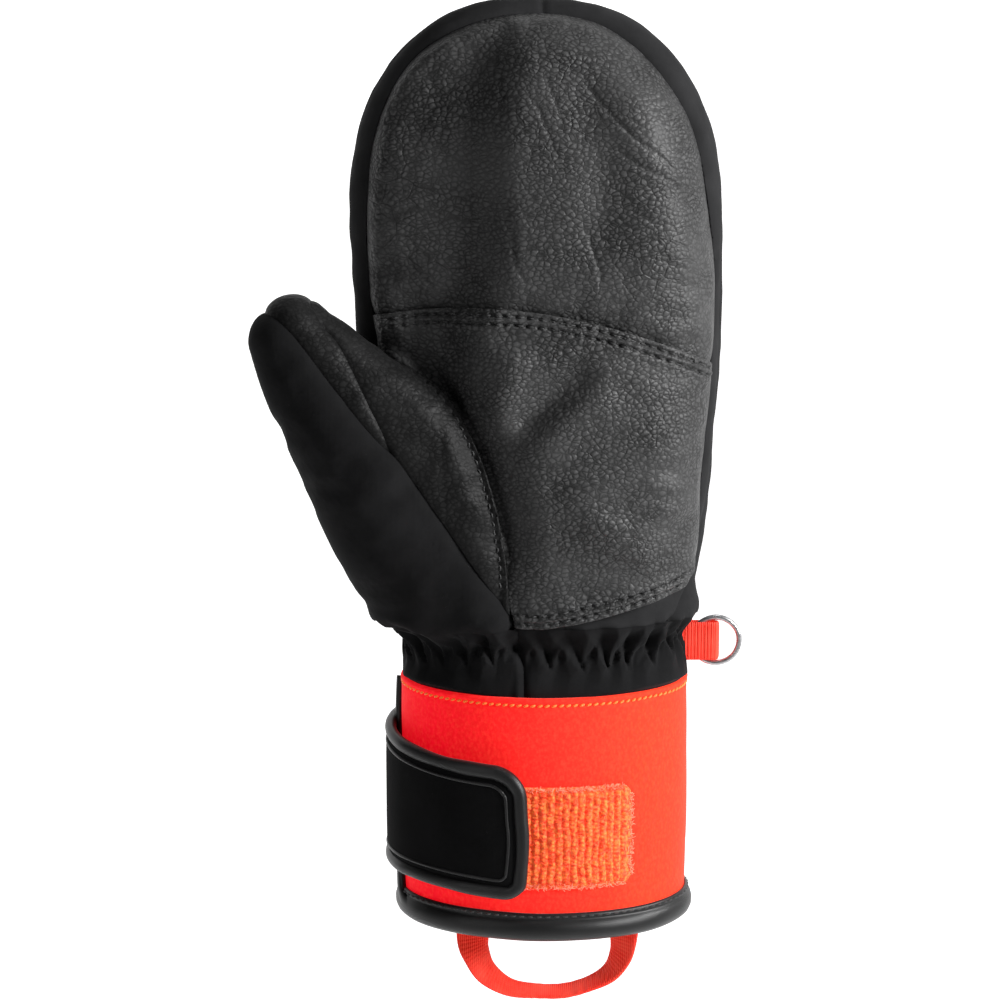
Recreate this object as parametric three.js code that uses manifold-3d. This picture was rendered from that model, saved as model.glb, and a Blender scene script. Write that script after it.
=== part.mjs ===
// A left-hand ski mitten with a short neoprene cuff, in millimetres.
// +Z runs from the cuff's mouth to the fingertips, the palm faces -Y, and +X is the little-finger side.
// The origin is the centre of the cuff's mouth, where the hand goes in.
import * as THREE from "three";
import { ParametricGeometry } from "three/addons/geometries/ParametricGeometry.js";
import { mergeVertices } from "three/addons/utils/BufferGeometryUtils.js";
import Module from "manifold-3d";

const wasm = await Module();
wasm.setup();

// ---------- driving dimensions ----------

const FINGERTIP_Z = 273.5; // from the mouth to the fingertips
const TIP_START_Z = 207; // where the sides begin to close over the fingertips
const SECTION_POWER = 2.5; // superellipse power of the hand's cross-section
const GAP = 0.3; // between neighbouring layers and panels

// The hand's cross-sections: height, centre x, half-width, centre y, half-depth.
const HAND_STATIONS = [
  [58, 0.4, 41.4, 0, 28.4],
  [80, 0.3, 42.1, 0, 28.6],
  [94, 0, 44.4, -0.5, 29.2],
  [112, -0.4, 47.6, -1, 29.6],
  [134, -0.9, 50.3, -1.4, 29.6],
  [160, -1.7, 53, -1.8, 28.7],
  [184, -2.2, 54.1, -2.4, 27.3],
  [TIP_START_Z, -2.8, 54.5, -3, 25.6],
];
const TIP_WIDTH_POWER = 2.3;
const TIP_DEPTH_POWER = 2;
const TIP_STEPS = [0.27, 0.52, 0.74, 0.89, 0.975]; // share of the way from TIP_START_Z to the tip
const TIP_X = -3.6;
const HAND_SLICES = 20; // facets round the hand
const THUMB_SLICES = 14;

// The thumb's centre line, with its half-width across the palm and half-depth through it.
const THUMB_STATIONS = [
  { at: [-24, -5, 80], width: 15.5, depth: 17 },
  { at: [-27.5, -8, 92], width: 18, depth: 18.5 },
  { at: [-33, -12, 106], width: 21.8, depth: 20 },
  { at: [-41, -16.5, 123], width: 23.4, depth: 20.4 },
  { at: [-55.5, -22.5, 150], width: 20, depth: 18.4 },
  { at: [-67, -26, 167], width: 15, depth: 15 },
  { at: [-72.4, -27.5, 177], width: 12.4, depth: 12.6 },
  { at: [-75.4, -28, 183.6], width: 9.4, depth: 9.6 },
  { at: [-77.2, -28.4, 188], width: 5.4, depth: 5.6 },
];
const THUMB_TIP = [-78.1, -28.5, 190.2];

// Layers from the outside in, as distances below the outer surface.
const SHELL = [0, 1.2];
const WADDING = [1.5, 5.1];
const LINING = [5.4, 6.5];

// The three soft hinges, and the room that each leaves between stiff pieces.
const CUFF_TOP_Z = 71.5;
const HAND_BASE_Z = 92;
const KNUCKLE_Z = 176;
const KNUCKLE_NOTCH_DEG = 40;
const THUMB_ROOM = 4; // the thumb's wadding stays this far off the hand

// The cuff: half-width, half-depth, wall thicknesses, and where the walls start above the mouth.
const CUFF_SLICES = 30;
const CUFF = { width: 43.2, depth: 33, wall: 3, liningWall: 1, base: 2 };
const HEM = { height: 7.2, leg: 1.1 };
const LOOP_PATCH = { from: 232, to: 306, low: 13.5, high: 44.5, lift: 0.3, wall: 0.9 };
const TAB = {
  root: 112, // degrees round the cuff, from the little-finger side over the back
  hinge: 150,
  free: 264,
  height: 40,
  rootZ: 37,
  freeZ: 31.5,
  wall: 2.2,
  edge: 3.4, // width of the binding round the tab
  liftAtHinge: 1.2,
  liftAtFree: 3.1,
};

// The side tab's webbing and its ring.
const RING = { x: 51.8, y: 0, z: 81.4, radius: 7.1, wire: 0.8 };
const WEBBING = { width: 12.2, wall: 0.9, slot: 2.3, from: 45.4 };

// The pull loop below the palm side of the mouth.
const LOOP = { x: 0.9, y: -16.8, hinge: -4, halfSpan: 22.6, drop: 22.4, width: 9.6, wall: 1.1, sewn: 15 };

// ---------- solids and lofts ----------

// A closed three.js geometry as a manifold-3d solid.
function solid(geometry) {
  const bare = geometry.clone();
  for (const name of ["normal", "uv"]) bare.deleteAttribute(name);
  const merged = mergeVertices(bare, 1e-4);
  const corners = merged.index.array;
  const faces = [];
  for (let i = 0; i < corners.length; i += 3) {
    const [a, b, c] = [corners[i], corners[i + 1], corners[i + 2]];
    if (a !== b && b !== c && c !== a) faces.push(a, b, c);
  }
  const vertProperties = Float32Array.from(merged.attributes.position.array);
  const build = () => {
    const mesh = new wasm.Mesh({ numProp: 3, vertProperties, triVerts: Uint32Array.from(faces) });
    return new wasm.Manifold(mesh);
  };
  const made = build();
  if (made.volume() > 0) return made;
  for (let i = 0; i < faces.length; i += 3) [faces[i], faces[i + 1]] = [faces[i + 1], faces[i]];
  return build();
}

// A manifold-3d solid as a three.js geometry.
function geometryOf(body) {
  const mesh = body.getMesh();
  const geometry = new THREE.BufferGeometry();
  geometry.setAttribute("position", new THREE.BufferAttribute(mesh.vertProperties, 3));
  geometry.setIndex(new THREE.BufferAttribute(mesh.triVerts, 1));
  geometry.computeVertexNormals();
  return geometry;
}

// A closed skin over rings: ringPoint(i, turn) gives ring i's point, turn running from 0 to 1.
function loft(ringPoint, rings, slices) {
  const point = (u, v, target) => target.copy(ringPoint(Math.round(v * (rings - 1)), u % 1));
  return solid(new ParametricGeometry(point, slices, rings - 1));
}

// A closed ring of cloth: profile corners are [outward offset, z], swept round an ellipse.
function hoop(profile, width, depth, slices) {
  const point = (i, turn) => {
    const [out, z] = profile[i % profile.length];
    const angle = turn * 2 * Math.PI;
    const x = (width + out) * Math.cos(angle);
    const y = (depth + out) * Math.sin(angle);
    return new THREE.Vector3(x, y, z);
  };
  return loft(point, profile.length + 1, slices);
}

// A prism along Y over an outline in x and z, from yLow to yHigh.
function prismY(shape, yLow, yHigh, segments = 6) {
  const options = { depth: yHigh - yLow, bevelEnabled: false, curveSegments: segments };
  const geometry = new THREE.ExtrudeGeometry(shape, options);
  geometry.rotateX(Math.PI / 2);
  geometry.translate(0, yHigh, 0);
  return solid(geometry);
}

// A prism along X over an outline in y and z.
function prismX(points, halfLength = 150) {
  const shape = new THREE.Shape(points.map(([y, z]) => new THREE.Vector2(y, z)));
  const geometry = new THREE.ExtrudeGeometry(shape, { depth: 2 * halfLength, bevelEnabled: false });
  geometry.rotateX(Math.PI / 2);
  geometry.rotateZ(Math.PI / 2);
  geometry.translate(-halfLength, 0, 0);
  return solid(geometry);
}

// Everything between two heights.
function slab(low, high) {
  const reach = 90;
  return prismX([[-reach, low], [reach, low], [reach, high], [-reach, high]]);
}

// ---------- the hand and thumb, at any distance below the outer surface ----------

function handSections(inset) {
  const rows = [...HAND_STATIONS];
  const [, , tipWidth, tipY, tipDepth] = HAND_STATIONS[HAND_STATIONS.length - 1];
  const reach = FINGERTIP_Z - inset - TIP_START_Z;
  for (const share of TIP_STEPS) {
    const width = (1 - share ** TIP_WIDTH_POWER) ** (1 / TIP_WIDTH_POWER);
    const depth = (1 - share ** TIP_DEPTH_POWER) ** (1 / TIP_DEPTH_POWER);
    const z = TIP_START_Z + reach * share;
    rows.push([z, TIP_X, (tipWidth - inset) * width + inset, tipY, (tipDepth - inset) * depth + inset]);
  }
  rows.push([FINGERTIP_Z - inset, TIP_X, inset, tipY, inset]);
  return rows;
}

function handSolid(inset) {
  const rows = handSections(inset);
  const ring = (i, turn) => {
    const row = rows[Math.min(Math.max(i - 1, 0), rows.length - 1)];
    const [z, cx, width, cy, depth] = row;
    const open = i === 0 ? 0 : 1;
    const angle = turn * 2 * Math.PI;
    const bulge = (v) => Math.sign(v) * Math.abs(v) ** (2 / SECTION_POWER);
    const x = cx + open * (width - inset) * bulge(Math.cos(angle));
    const y = cy + open * (depth - inset) * bulge(Math.sin(angle));
    return new THREE.Vector3(x, y, z);
  };
  return loft(ring, rows.length + 1, HAND_SLICES);
}

function thumbSolid(inset) {
  const centres = THUMB_STATIONS.map((s) => new THREE.Vector3(...s.at));
  const tip = new THREE.Vector3(...THUMB_TIP);
  const along = tip.clone().sub(centres[centres.length - 1]).normalize();
  centres.push(tip.addScaledVector(along, -inset));
  const last = centres.length - 1;
  const ring = (i, turn) => {
    const k = Math.min(Math.max(i - 1, 0), last);
    if (i === 0 || k === last) return centres[k].clone();
    const station = THUMB_STATIONS[k];
    const axis = centres[k + 1].clone().sub(centres[Math.max(k - 1, 0)]).normalize();
    const through = new THREE.Vector3(0, 1, 0).addScaledVector(axis, -axis.y).normalize();
    const across = new THREE.Vector3().crossVectors(through, axis);
    const angle = turn * 2 * Math.PI;
    const width = Math.max(station.width - inset, 0.3);
    const depth = Math.max(station.depth - inset, 0.3);
    // the last rings draw back with the tip, so that the end wall keeps its thickness
    const back = k >= last - 3 ? -inset * (k - last + 4) * 0.25 : 0;
    return centres[k]
      .clone()
      .addScaledVector(axis, back)
      .addScaledVector(across, width * Math.cos(angle))
      .addScaledVector(through, depth * Math.sin(angle));
  };
  return loft(ring, last + 2, THUMB_SLICES);
}

// ---------- outlines of the panels, in x and z ----------

const planar = (points) => points.map(([x, z]) => new THREE.Vector2(x, z));

// The palm leather: a dome over the fingers, straight sides, and the thumb's seam at the lower left.
function palmOutline(grow) {
  const shape = new THREE.Shape();
  const right = 49.4 + grow;
  const left = -52.2 - grow;
  shape.moveTo(-12 - grow, 91 - grow);
  shape.lineTo(43.6 + grow, 103.6 - grow);
  shape.splineThru(planar([[47 + grow, 135], [right, 176], [right - 0.8, 212]]));
  shape.splineThru(planar([[44.6 + grow, 234], [32 + grow, 256.5 + grow], [-3, 269.8 + grow]]));
  shape.splineThru(planar([[-36.9 - grow, 258 + grow], [-48.6 - grow, 239], [left, 218]]));
  shape.splineThru(planar([[-51.6 - grow, 190], [-50 - grow, 172], [-46 - grow, 160]]));
  shape.lineTo(-30 - grow, 120);
  return shape;
}

// The back panel is the same dome, carried straight down to the wrist.
function backOutline(grow) {
  const shape = new THREE.Shape();
  const side = 49.6 + grow;
  shape.moveTo(-38 - grow, 60);
  shape.lineTo(38 + grow, 60);
  shape.splineThru(planar([[43.6 + grow, 115], [side - 1, 158], [side, 214]]));
  shape.splineThru(planar([[44.6 + grow, 238], [31 + grow, 259 + grow], [-2.5, 269.8 + grow]]));
  shape.splineThru(planar([[-36 - grow, 259 + grow], [-49.6 - grow, 238], [-5 - side, 214]]));
  shape.splineThru(planar([[-4 - side, 158], [-45.6 - grow, 115], [-38 - grow, 60]]));
  return shape;
}

// Below the seam across the palm, under the knuckles: an arch with its crown towards the thumb.
function belowKnuckleSeam(shift) {
  const height = (x) => 186.2 + shift - 0.0039 * (x + 20) ** 2;
  const shape = new THREE.Shape();
  shape.moveTo(-120, 0);
  shape.lineTo(120, 0);
  const crown = [];
  for (let x = 65; x >= -75; x -= 14) crown.push([x, height(x)]);
  shape.lineTo(120, crown[0][1]);
  for (const [x, z] of crown) shape.lineTo(x, z);
  shape.lineTo(-120, crown[crown.length - 1][1]);
  return shape;
}

// Everything on the softshell's side of the seam down the front of the thumb.
function thumbPanelSide(shift) {
  const shape = new THREE.Shape();
  shape.moveTo(-140, 0);
  shape.lineTo(-2 + shift, 0);
  shape.lineTo(-8 + shift, 92);
  shape.lineTo(-41 + shift, 144);
  shape.lineTo(-77 + shift, 185.4);
  shape.lineTo(-140 + shift, 185.4);
  return shape;
}

// The narrow leather strip beside that seam, from the thumb's tip to half-way down.
function thumbStripSide(shift) {
  const shape = new THREE.Shape();
  shape.moveTo(-140, 0);
  shape.lineTo(-43 + shift, 0);
  shape.lineTo(-43 + shift, 146);
  shape.lineTo(-67 + shift, 187);
  shape.lineTo(-72 + shift, 205);
  shape.lineTo(-140, 205);
  return shape;
}

// ---------- the node list ----------

const mitten = new THREE.Group();

const finish = (color, roughness, metalness = 0) => new THREE.MeshStandardMaterial({ color, roughness, metalness });
const materials = {
  softshell: finish(0x1a1a1c, 0.85),
  leather: finish(0x2c2c2e, 0.5),
  neoprene: finish(0xf2381f, 0.8),
  fleece: finish(0x3a3c40, 0.95),
  wadding: finish(0xe4e4e0, 0.95),
  binding: finish(0x17171a, 0.55),
  tab: finish(0x141416, 0.75),
  webbing: finish(0xf43c22, 0.75),
  hook: finish(0x202022, 0.7),
  loop: finish(0xf5562c, 0.9),
  elastic: finish(0xd8d8d6, 0.8),
  label: finish(0xefefec, 0.7),
  steel: finish(0xb8bcc0, 0.25, 1),
};

function node(name, material, body) {
  const mesh = new THREE.Mesh(geometryOf(body), materials[material]);
  mesh.name = name;
  mitten.add(mesh);
}

// ---------- hand, fingers and thumb, layer by layer ----------

const shellOf = (make, [outer, inner]) => make(outer).subtract(make(inner));
const below = (z) => slab(-60, z);
const above = (z) => slab(z, 400);

// A hand layer with the hole that the thumb goes through.
function handLayer(layer) {
  return shellOf(handSolid, layer).subtract(thumbSolid(layer[0] - GAP)).subtract(below(CUFF_TOP_Z + GAP / 2));
}

// A thumb layer, from the inside of the same hand layer out to the tip.
function thumbLayer(layer) {
  return shellOf(thumbSolid, layer).subtract(handSolid(layer[1] - GAP)).subtract(below(HAND_BASE_Z + GAP));
}

const knuckleCut = KNUCKLE_Z;
const fingersHalf = (body) => body.subtract(prismX([[-90, 0], [90, 0], [90, knuckleCut], [-90, knuckleCut]]));
const palmHalf = (body) => body.intersect(
  prismX([[-90, 0], [90, 0], [90, knuckleCut - GAP], [-90, knuckleCut - GAP]]),
);

// The stiff wadding is notched at the knuckles on the palm side, so that the fingers can curl.
function knuckleNotch() {
  const reach = 60;
  const rise = reach * Math.tan(THREE.MathUtils.degToRad(KNUCKLE_NOTCH_DEG / 2));
  const slit = 1;
  const wedge = [[1, -slit], [1, slit], [-reach, rise + slit], [-reach, -rise - slit]];
  return prismX(wedge.map(([y, z]) => [y, KNUCKLE_Z + z])).add(
    prismX([[-90, KNUCKLE_Z - slit], [90, KNUCKLE_Z - slit], [90, KNUCKLE_Z + slit], [-90, KNUCKLE_Z + slit]]),
  );
}

function makeHand() {
  const shell = handLayer(SHELL);
  const hand = shell.intersect(above(HAND_BASE_Z));
  const palmFront = prismY(palmOutline(0), -80, -3);
  const palmRoom = prismY(palmOutline(GAP), -80, -3 + GAP);
  const backFront = prismY(backOutline(0), 1, 80);
  const backRoom = prismY(backOutline(GAP), 1 - GAP, 80);
  const lower = prismY(belowKnuckleSeam(0), -90, 90);
  const lowerRoom = prismY(belowKnuckleSeam(GAP), -90, 90);
  const band = hand.subtract(palmRoom).subtract(backRoom);
  node("palm_leather_lower", "leather", hand.intersect(palmFront).intersect(lower));
  node("palm_leather_upper", "leather", hand.intersect(palmFront).subtract(lowerRoom));
  node("back_panel_lower", "softshell", palmHalf(hand.intersect(backFront)));
  node("back_panel_upper", "softshell", fingersHalf(hand.intersect(backFront)));
  const outerHalf = prismY(new THREE.Shape(planar([[0, 0], [120, 0], [120, 300], [0, 300]])), -90, 90);
  node("side_band_little", "softshell", largest(palmHalf(band.intersect(outerHalf))));
  node("side_band_thumb", "softshell", largest(palmHalf(band.subtract(outerHalf))));
  node("side_band_tips", "softshell", fingersHalf(band));

  const stiff = handLayer(WADDING).intersect(above(HAND_BASE_Z)).subtract(knuckleNotch());
  node("wadding_hand", "wadding", largest(palmHalf(stiff)));
  node("wadding_fingers", "wadding", fingersHalf(stiff));
  const lining = handLayer(LINING).intersect(above(HAND_BASE_Z));
  node("lining_hand", "fleece", largest(palmHalf(lining)));
  node("lining_fingers", "fleece", fingersHalf(lining));
}

// A cut can leave loose crumbs of cloth beside the panel, so only the panel is kept.
function largest(body) {
  return body.decompose().sort((a, b) => b.volume() - a.volume())[0];
}

function makeThumb() {
  const skin = thumbLayer(SHELL);
  const panel = prismY(thumbPanelSide(0), -90, 90);
  const panelRoom = prismY(thumbPanelSide(GAP), -90, 90);
  const strip = prismY(thumbStripSide(0), -90, 90);
  const stripRoom = prismY(thumbStripSide(GAP), -90, 90);
  const leather = skin.subtract(panelRoom);
  node("thumb_shell_panel", "softshell", largest(skin.intersect(panel)));
  node("thumb_leather_strip", "leather", largest(leather.intersect(strip)));
  node("thumb_leather_palm", "leather", largest(leather.subtract(stripRoom)));
  const clearOfHand = shellOf(thumbSolid, WADDING).subtract(handSolid(-THUMB_ROOM));
  node("wadding_thumb", "wadding", largest(clearOfHand.subtract(below(HAND_BASE_Z + THUMB_ROOM))));
  node("lining_thumb", "fleece", largest(thumbLayer(LINING)));
}

// ---------- the gathered wrist between hand and cuff ----------

function makeWrist() {
  const zone = slab(CUFF_TOP_Z + GAP, HAND_BASE_Z - GAP);
  const ring = shellOf(handSolid, SHELL).intersect(zone);
  const palmSide = prismX([[-90, 0], [-GAP / 2, 0], [-GAP / 2, 200], [-90, 200]]);
  const backSide = prismX([[GAP / 2, 0], [90, 0], [90, 200], [GAP / 2, 200]]);
  node("wrist_gather_palm", "softshell", ring.intersect(palmSide));
  node("wrist_gather_back", "softshell", ring.intersect(backSide));
  node("wrist_elastic", "elastic", shellOf(handSolid, [1.6, 2.6]).intersect(slab(77, 87)));
  node("wrist_lining", "fleece", shellOf(handSolid, LINING).intersect(zone));
}

// ---------- the cuff ----------

// A point on the cuff, turned degrees from the little-finger side over the back, a distance out.
function cuffPoint(degrees, out, z) {
  const angle = THREE.MathUtils.degToRad(degrees);
  const x = (CUFF.width + out) * Math.cos(angle);
  const y = (CUFF.depth + out) * Math.sin(angle);
  return new THREE.Vector3(x, y, z);
}

// A strip that lies round the cuff: at share t, from 0 to 1, edges(t) gives its low, high, inner and outer limits.
function cuffStrip(fromDegrees, toDegrees, steps, edges) {
  const corner = (i, turn) => {
    const t = Math.min(Math.max(i - 1, 0), steps) / steps;
    const degrees = fromDegrees + (toDegrees - fromDegrees) * t;
    const { low, high, inner, outer } = edges(t);
    const middle = i === 0 || i === steps + 2;
    if (middle) return cuffPoint(degrees, (inner + outer) / 2, (low + high) / 2);
    const k = Math.round(turn * 4) % 4;
    return cuffPoint(degrees, k === 0 || k === 3 ? inner : outer, k < 2 ? low : high);
  };
  return loft(corner, steps + 3, 4);
}

function makeCuff() {
  const { width, depth, wall, liningWall, base } = CUFF;
  const sleeve = [[0, base], [0, CUFF_TOP_Z], [-wall, CUFF_TOP_Z], [-wall, base]];
  node("cuff_sleeve", "neoprene", hoop(sleeve, width, depth, CUFF_SLICES));
  const inner = -wall - GAP;
  const lining = [[inner, base], [inner, CUFF_TOP_Z], [inner - liningWall, CUFF_TOP_Z], [inner - liningWall, base]];
  node("cuff_lining", "fleece", hoop(lining, width, depth, CUFF_SLICES));
  const outside = GAP + HEM.leg;
  const inside = inner - liningWall - GAP - HEM.leg;
  const channel = [
    [outside, 0],
    [outside, HEM.height],
    [GAP, HEM.height],
    [GAP, base - GAP],
    [inner - liningWall - GAP, base - GAP],
    [inner - liningWall - GAP, HEM.height],
    [inside, HEM.height],
    [inside, 0],
  ];
  node("hem_binding", "binding", hoop(channel, width, depth, CUFF_SLICES));
  const patch = { low: LOOP_PATCH.low, high: LOOP_PATCH.high, inner: LOOP_PATCH.lift };
  const patchEdges = () => ({ ...patch, outer: LOOP_PATCH.lift + LOOP_PATCH.wall });
  node("loop_patch", "loop", cuffStrip(LOOP_PATCH.from, LOOP_PATCH.to, 9, patchEdges));
  const label = new THREE.BoxGeometry(22, 0.5, 28);
  label.translate(0, depth - wall - liningWall - 2.4, 40);
  node("care_label", "label", solid(label));
}

// ---------- the closure tab ----------

// The tab's middle height and lift off the cuff, t running from its hinge to its free end.
const tabMiddle = (t) => TAB.rootZ + (TAB.freeZ - TAB.rootZ) * t;
const tabLift = (t) => TAB.liftAtHinge + (TAB.liftAtFree - TAB.liftAtHinge) * Math.min(1, 2 * t);

function tabStrip(from, to, halfHeight, inner, outer) {
  const steps = Math.max(2, Math.round(Math.abs(to - from) / 10));
  return cuffStrip(from, to, steps, (share) => {
    const t = (from + (to - from) * share - TAB.hinge) / (TAB.free - TAB.hinge);
    const middle = tabMiddle(t);
    const lift = tabLift(Math.max(t, 0));
    return { low: middle - halfHeight, high: middle + halfHeight, inner: lift + inner, outer: lift + outer };
  });
}

function makeTab() {
  const half = TAB.height / 2;
  const core = half - TAB.edge;
  const seamDegrees = 3;
  const body = tabStrip(TAB.hinge + 1, TAB.free - seamDegrees, core, 0, TAB.wall);
  node("closure_tab", "tab", body);
  const frame = tabStrip(TAB.hinge + 1, TAB.free, half, -0.5, TAB.wall + 0.7);
  const window = tabStrip(TAB.hinge - 2, TAB.free - seamDegrees + 0.5, core + GAP, -2, TAB.wall + 4);
  node("tab_binding", "binding", frame.subtract(window));
  node("hook_patch", "hook", tabStrip(226, TAB.free - seamDegrees - 2, core - 2, -1.3, -GAP));
  node("tab_base", "tab", tabStrip(TAB.root, TAB.hinge - 4.5, half, -0.6, TAB.wall));
}

// ---------- side tab, ring and pull loop ----------

function makeSideTab() {
  const { width, wall, slot, from } = WEBBING;
  const bend = RING.x + 0.6;
  const outer = slot / 2 + wall;
  const arm = new THREE.Shape();
  arm.moveTo(from, -outer);
  arm.lineTo(bend - outer, -outer);
  arm.absarc(bend - outer, 0, outer, -Math.PI / 2, Math.PI / 2, false);
  arm.lineTo(from, outer);
  arm.lineTo(from, slot / 2);
  arm.lineTo(bend - outer, slot / 2);
  arm.absarc(bend - outer, 0, slot / 2, Math.PI / 2, -Math.PI / 2, true);
  arm.lineTo(from, -slot / 2);
  const geometry = new THREE.ExtrudeGeometry(arm, { depth: width, bevelEnabled: false, curveSegments: 10 });
  geometry.translate(0, RING.y, RING.z - width / 2);
  node("side_tab", "webbing", solid(geometry));
  const ring = new THREE.TorusGeometry(RING.radius, RING.wire, 8, 24);
  ring.rotateX(Math.PI / 2);
  ring.translate(RING.x, RING.y, RING.z);
  node("ring", "steel", solid(ring));
}

// The loop's webbing hangs flat against the palm side and turns level along its lowest run.
function loopRibbon() {
  const steps = 20;
  const corner = (i, turn) => {
    const k = Math.min(Math.max(i - 1, 0), steps);
    const t = (k / steps) * 2 - 1;
    const flat = 0.16;
    const swing = (Math.max(Math.abs(t) - flat, 0) / (1 - flat)) * Math.sign(t) * (Math.PI / 2);
    const run = LOOP.width * 0.62;
    const x = LOOP.x + (LOOP.halfSpan - run) * Math.sin(swing) + run * Math.min(1, Math.abs(t) / flat) * Math.sign(t);
    const z = LOOP.hinge - 0.3 - LOOP.drop * Math.cos(swing);
    const turned = Math.min(1, Math.abs(swing) / 0.9);
    const lie = turned * (Math.PI / 2);
    const leg = Math.sign(t) * Math.abs(swing);
    const across = new THREE.Vector3(
      Math.sin(lie) * Math.sin(Math.abs(leg)),
      Math.cos(lie),
      -Math.sin(lie) * Math.cos(leg) * Math.sign(leg),
    ).normalize();
    const along = new THREE.Vector3(Math.cos(leg), 0, Math.sin(leg));
    const up = new THREE.Vector3().crossVectors(along, across).normalize();
    const centre = new THREE.Vector3(x, LOOP.y, z);
    if (i === 0 || i === steps + 2) return centre;
    const c = Math.round(turn * 4) % 4;
    const w = (c < 2 ? -1 : 1) * (LOOP.width / 2);
    const h = (c === 0 || c === 3 ? -1 : 1) * (LOOP.wall / 2);
    return centre.addScaledVector(across, w).addScaledVector(up, h);
  };
  return loft(corner, steps + 3, 4);
}

function makePullLoop() {
  node("pull_loop", "webbing", loopRibbon());
  for (const [side, name] of [[-1, "left"], [1, "right"]]) {
    const end = new THREE.BoxGeometry(LOOP.width, LOOP.wall, LOOP.sewn);
    end.translate(LOOP.x + side * LOOP.halfSpan, LOOP.y, LOOP.hinge + 3 * GAP + LOOP.sewn / 2);
    node(`pull_loop_end_${name}`, "webbing", solid(end));
  }
}

makeHand();
makeThumb();
makeWrist();
makeCuff();
makeTab();
makeSideTab();
makePullLoop();

export default mitten;
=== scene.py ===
"""The ski mitten's looks: sewn panels over a padded hand and thumb, a cuff, its tab, ring and loop."""
import math

import bmesh
import bpy
import numpy as np
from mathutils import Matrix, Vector, kdtree


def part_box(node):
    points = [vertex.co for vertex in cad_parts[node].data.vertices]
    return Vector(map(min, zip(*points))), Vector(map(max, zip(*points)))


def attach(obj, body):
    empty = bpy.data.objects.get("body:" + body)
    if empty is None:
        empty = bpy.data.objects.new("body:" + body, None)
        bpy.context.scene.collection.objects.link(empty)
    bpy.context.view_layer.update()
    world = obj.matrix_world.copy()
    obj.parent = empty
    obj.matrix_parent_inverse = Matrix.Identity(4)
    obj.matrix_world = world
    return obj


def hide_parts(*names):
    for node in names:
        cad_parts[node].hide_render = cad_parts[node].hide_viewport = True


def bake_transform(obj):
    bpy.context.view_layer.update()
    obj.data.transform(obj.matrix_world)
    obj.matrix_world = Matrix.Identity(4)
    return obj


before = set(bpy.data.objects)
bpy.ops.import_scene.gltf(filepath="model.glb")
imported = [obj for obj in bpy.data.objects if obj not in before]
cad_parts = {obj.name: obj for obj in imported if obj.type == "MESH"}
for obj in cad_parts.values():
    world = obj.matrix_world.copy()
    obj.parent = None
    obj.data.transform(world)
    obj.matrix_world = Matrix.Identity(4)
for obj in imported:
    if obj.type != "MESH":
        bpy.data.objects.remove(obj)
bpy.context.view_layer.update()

MM = 0.001
TAU = 2 * math.pi
rng = np.random.default_rng(7)


def mm(point):
    return np.array(point, float) * 1000


def node_box(name):
    low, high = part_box(name)
    return mm(low), mm(high)


def add_object(name, data):
    """A new object in the scene for a mesh, a light or a camera."""
    made = bpy.data.objects.new(name, data)
    bpy.context.scene.collection.objects.link(made)
    return made


def unit(vectors):
    """Vectors scaled to a length of 1."""
    return vectors / np.linalg.norm(vectors, axis=-1)[..., None]


def run_along(path):
    """How far along a path each of its points is."""
    return np.concatenate([[0], np.cumsum(np.linalg.norm(np.diff(path, axis=0), axis=1))])


def bell(distance, width):
    """1 at no distance, falling away smoothly to both sides."""
    return np.exp(-((distance / width) ** 2))


# ---------------------------------------------------------------- the camera

CAMERA_AIM = np.array([-13.5, 0.0, 124.5])
CAMERA_DISTANCE = 950.0
CAMERA_ELEVATION = math.radians(11)
CAMERA_LENS = 114.0


def make_camera():
    data = bpy.data.cameras.new("camera")
    data.lens = CAMERA_LENS
    data.clip_end = 10
    camera = add_object("camera", data)
    back = np.array([0, -math.cos(CAMERA_ELEVATION), math.sin(CAMERA_ELEVATION)])
    camera.location = (CAMERA_AIM + back * CAMERA_DISTANCE) * MM
    camera.rotation_euler = (math.pi / 2 - CAMERA_ELEVATION, 0, 0)
    bpy.context.scene.camera = camera


make_camera()

# ---------------------------------------------------------------- node materials


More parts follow.
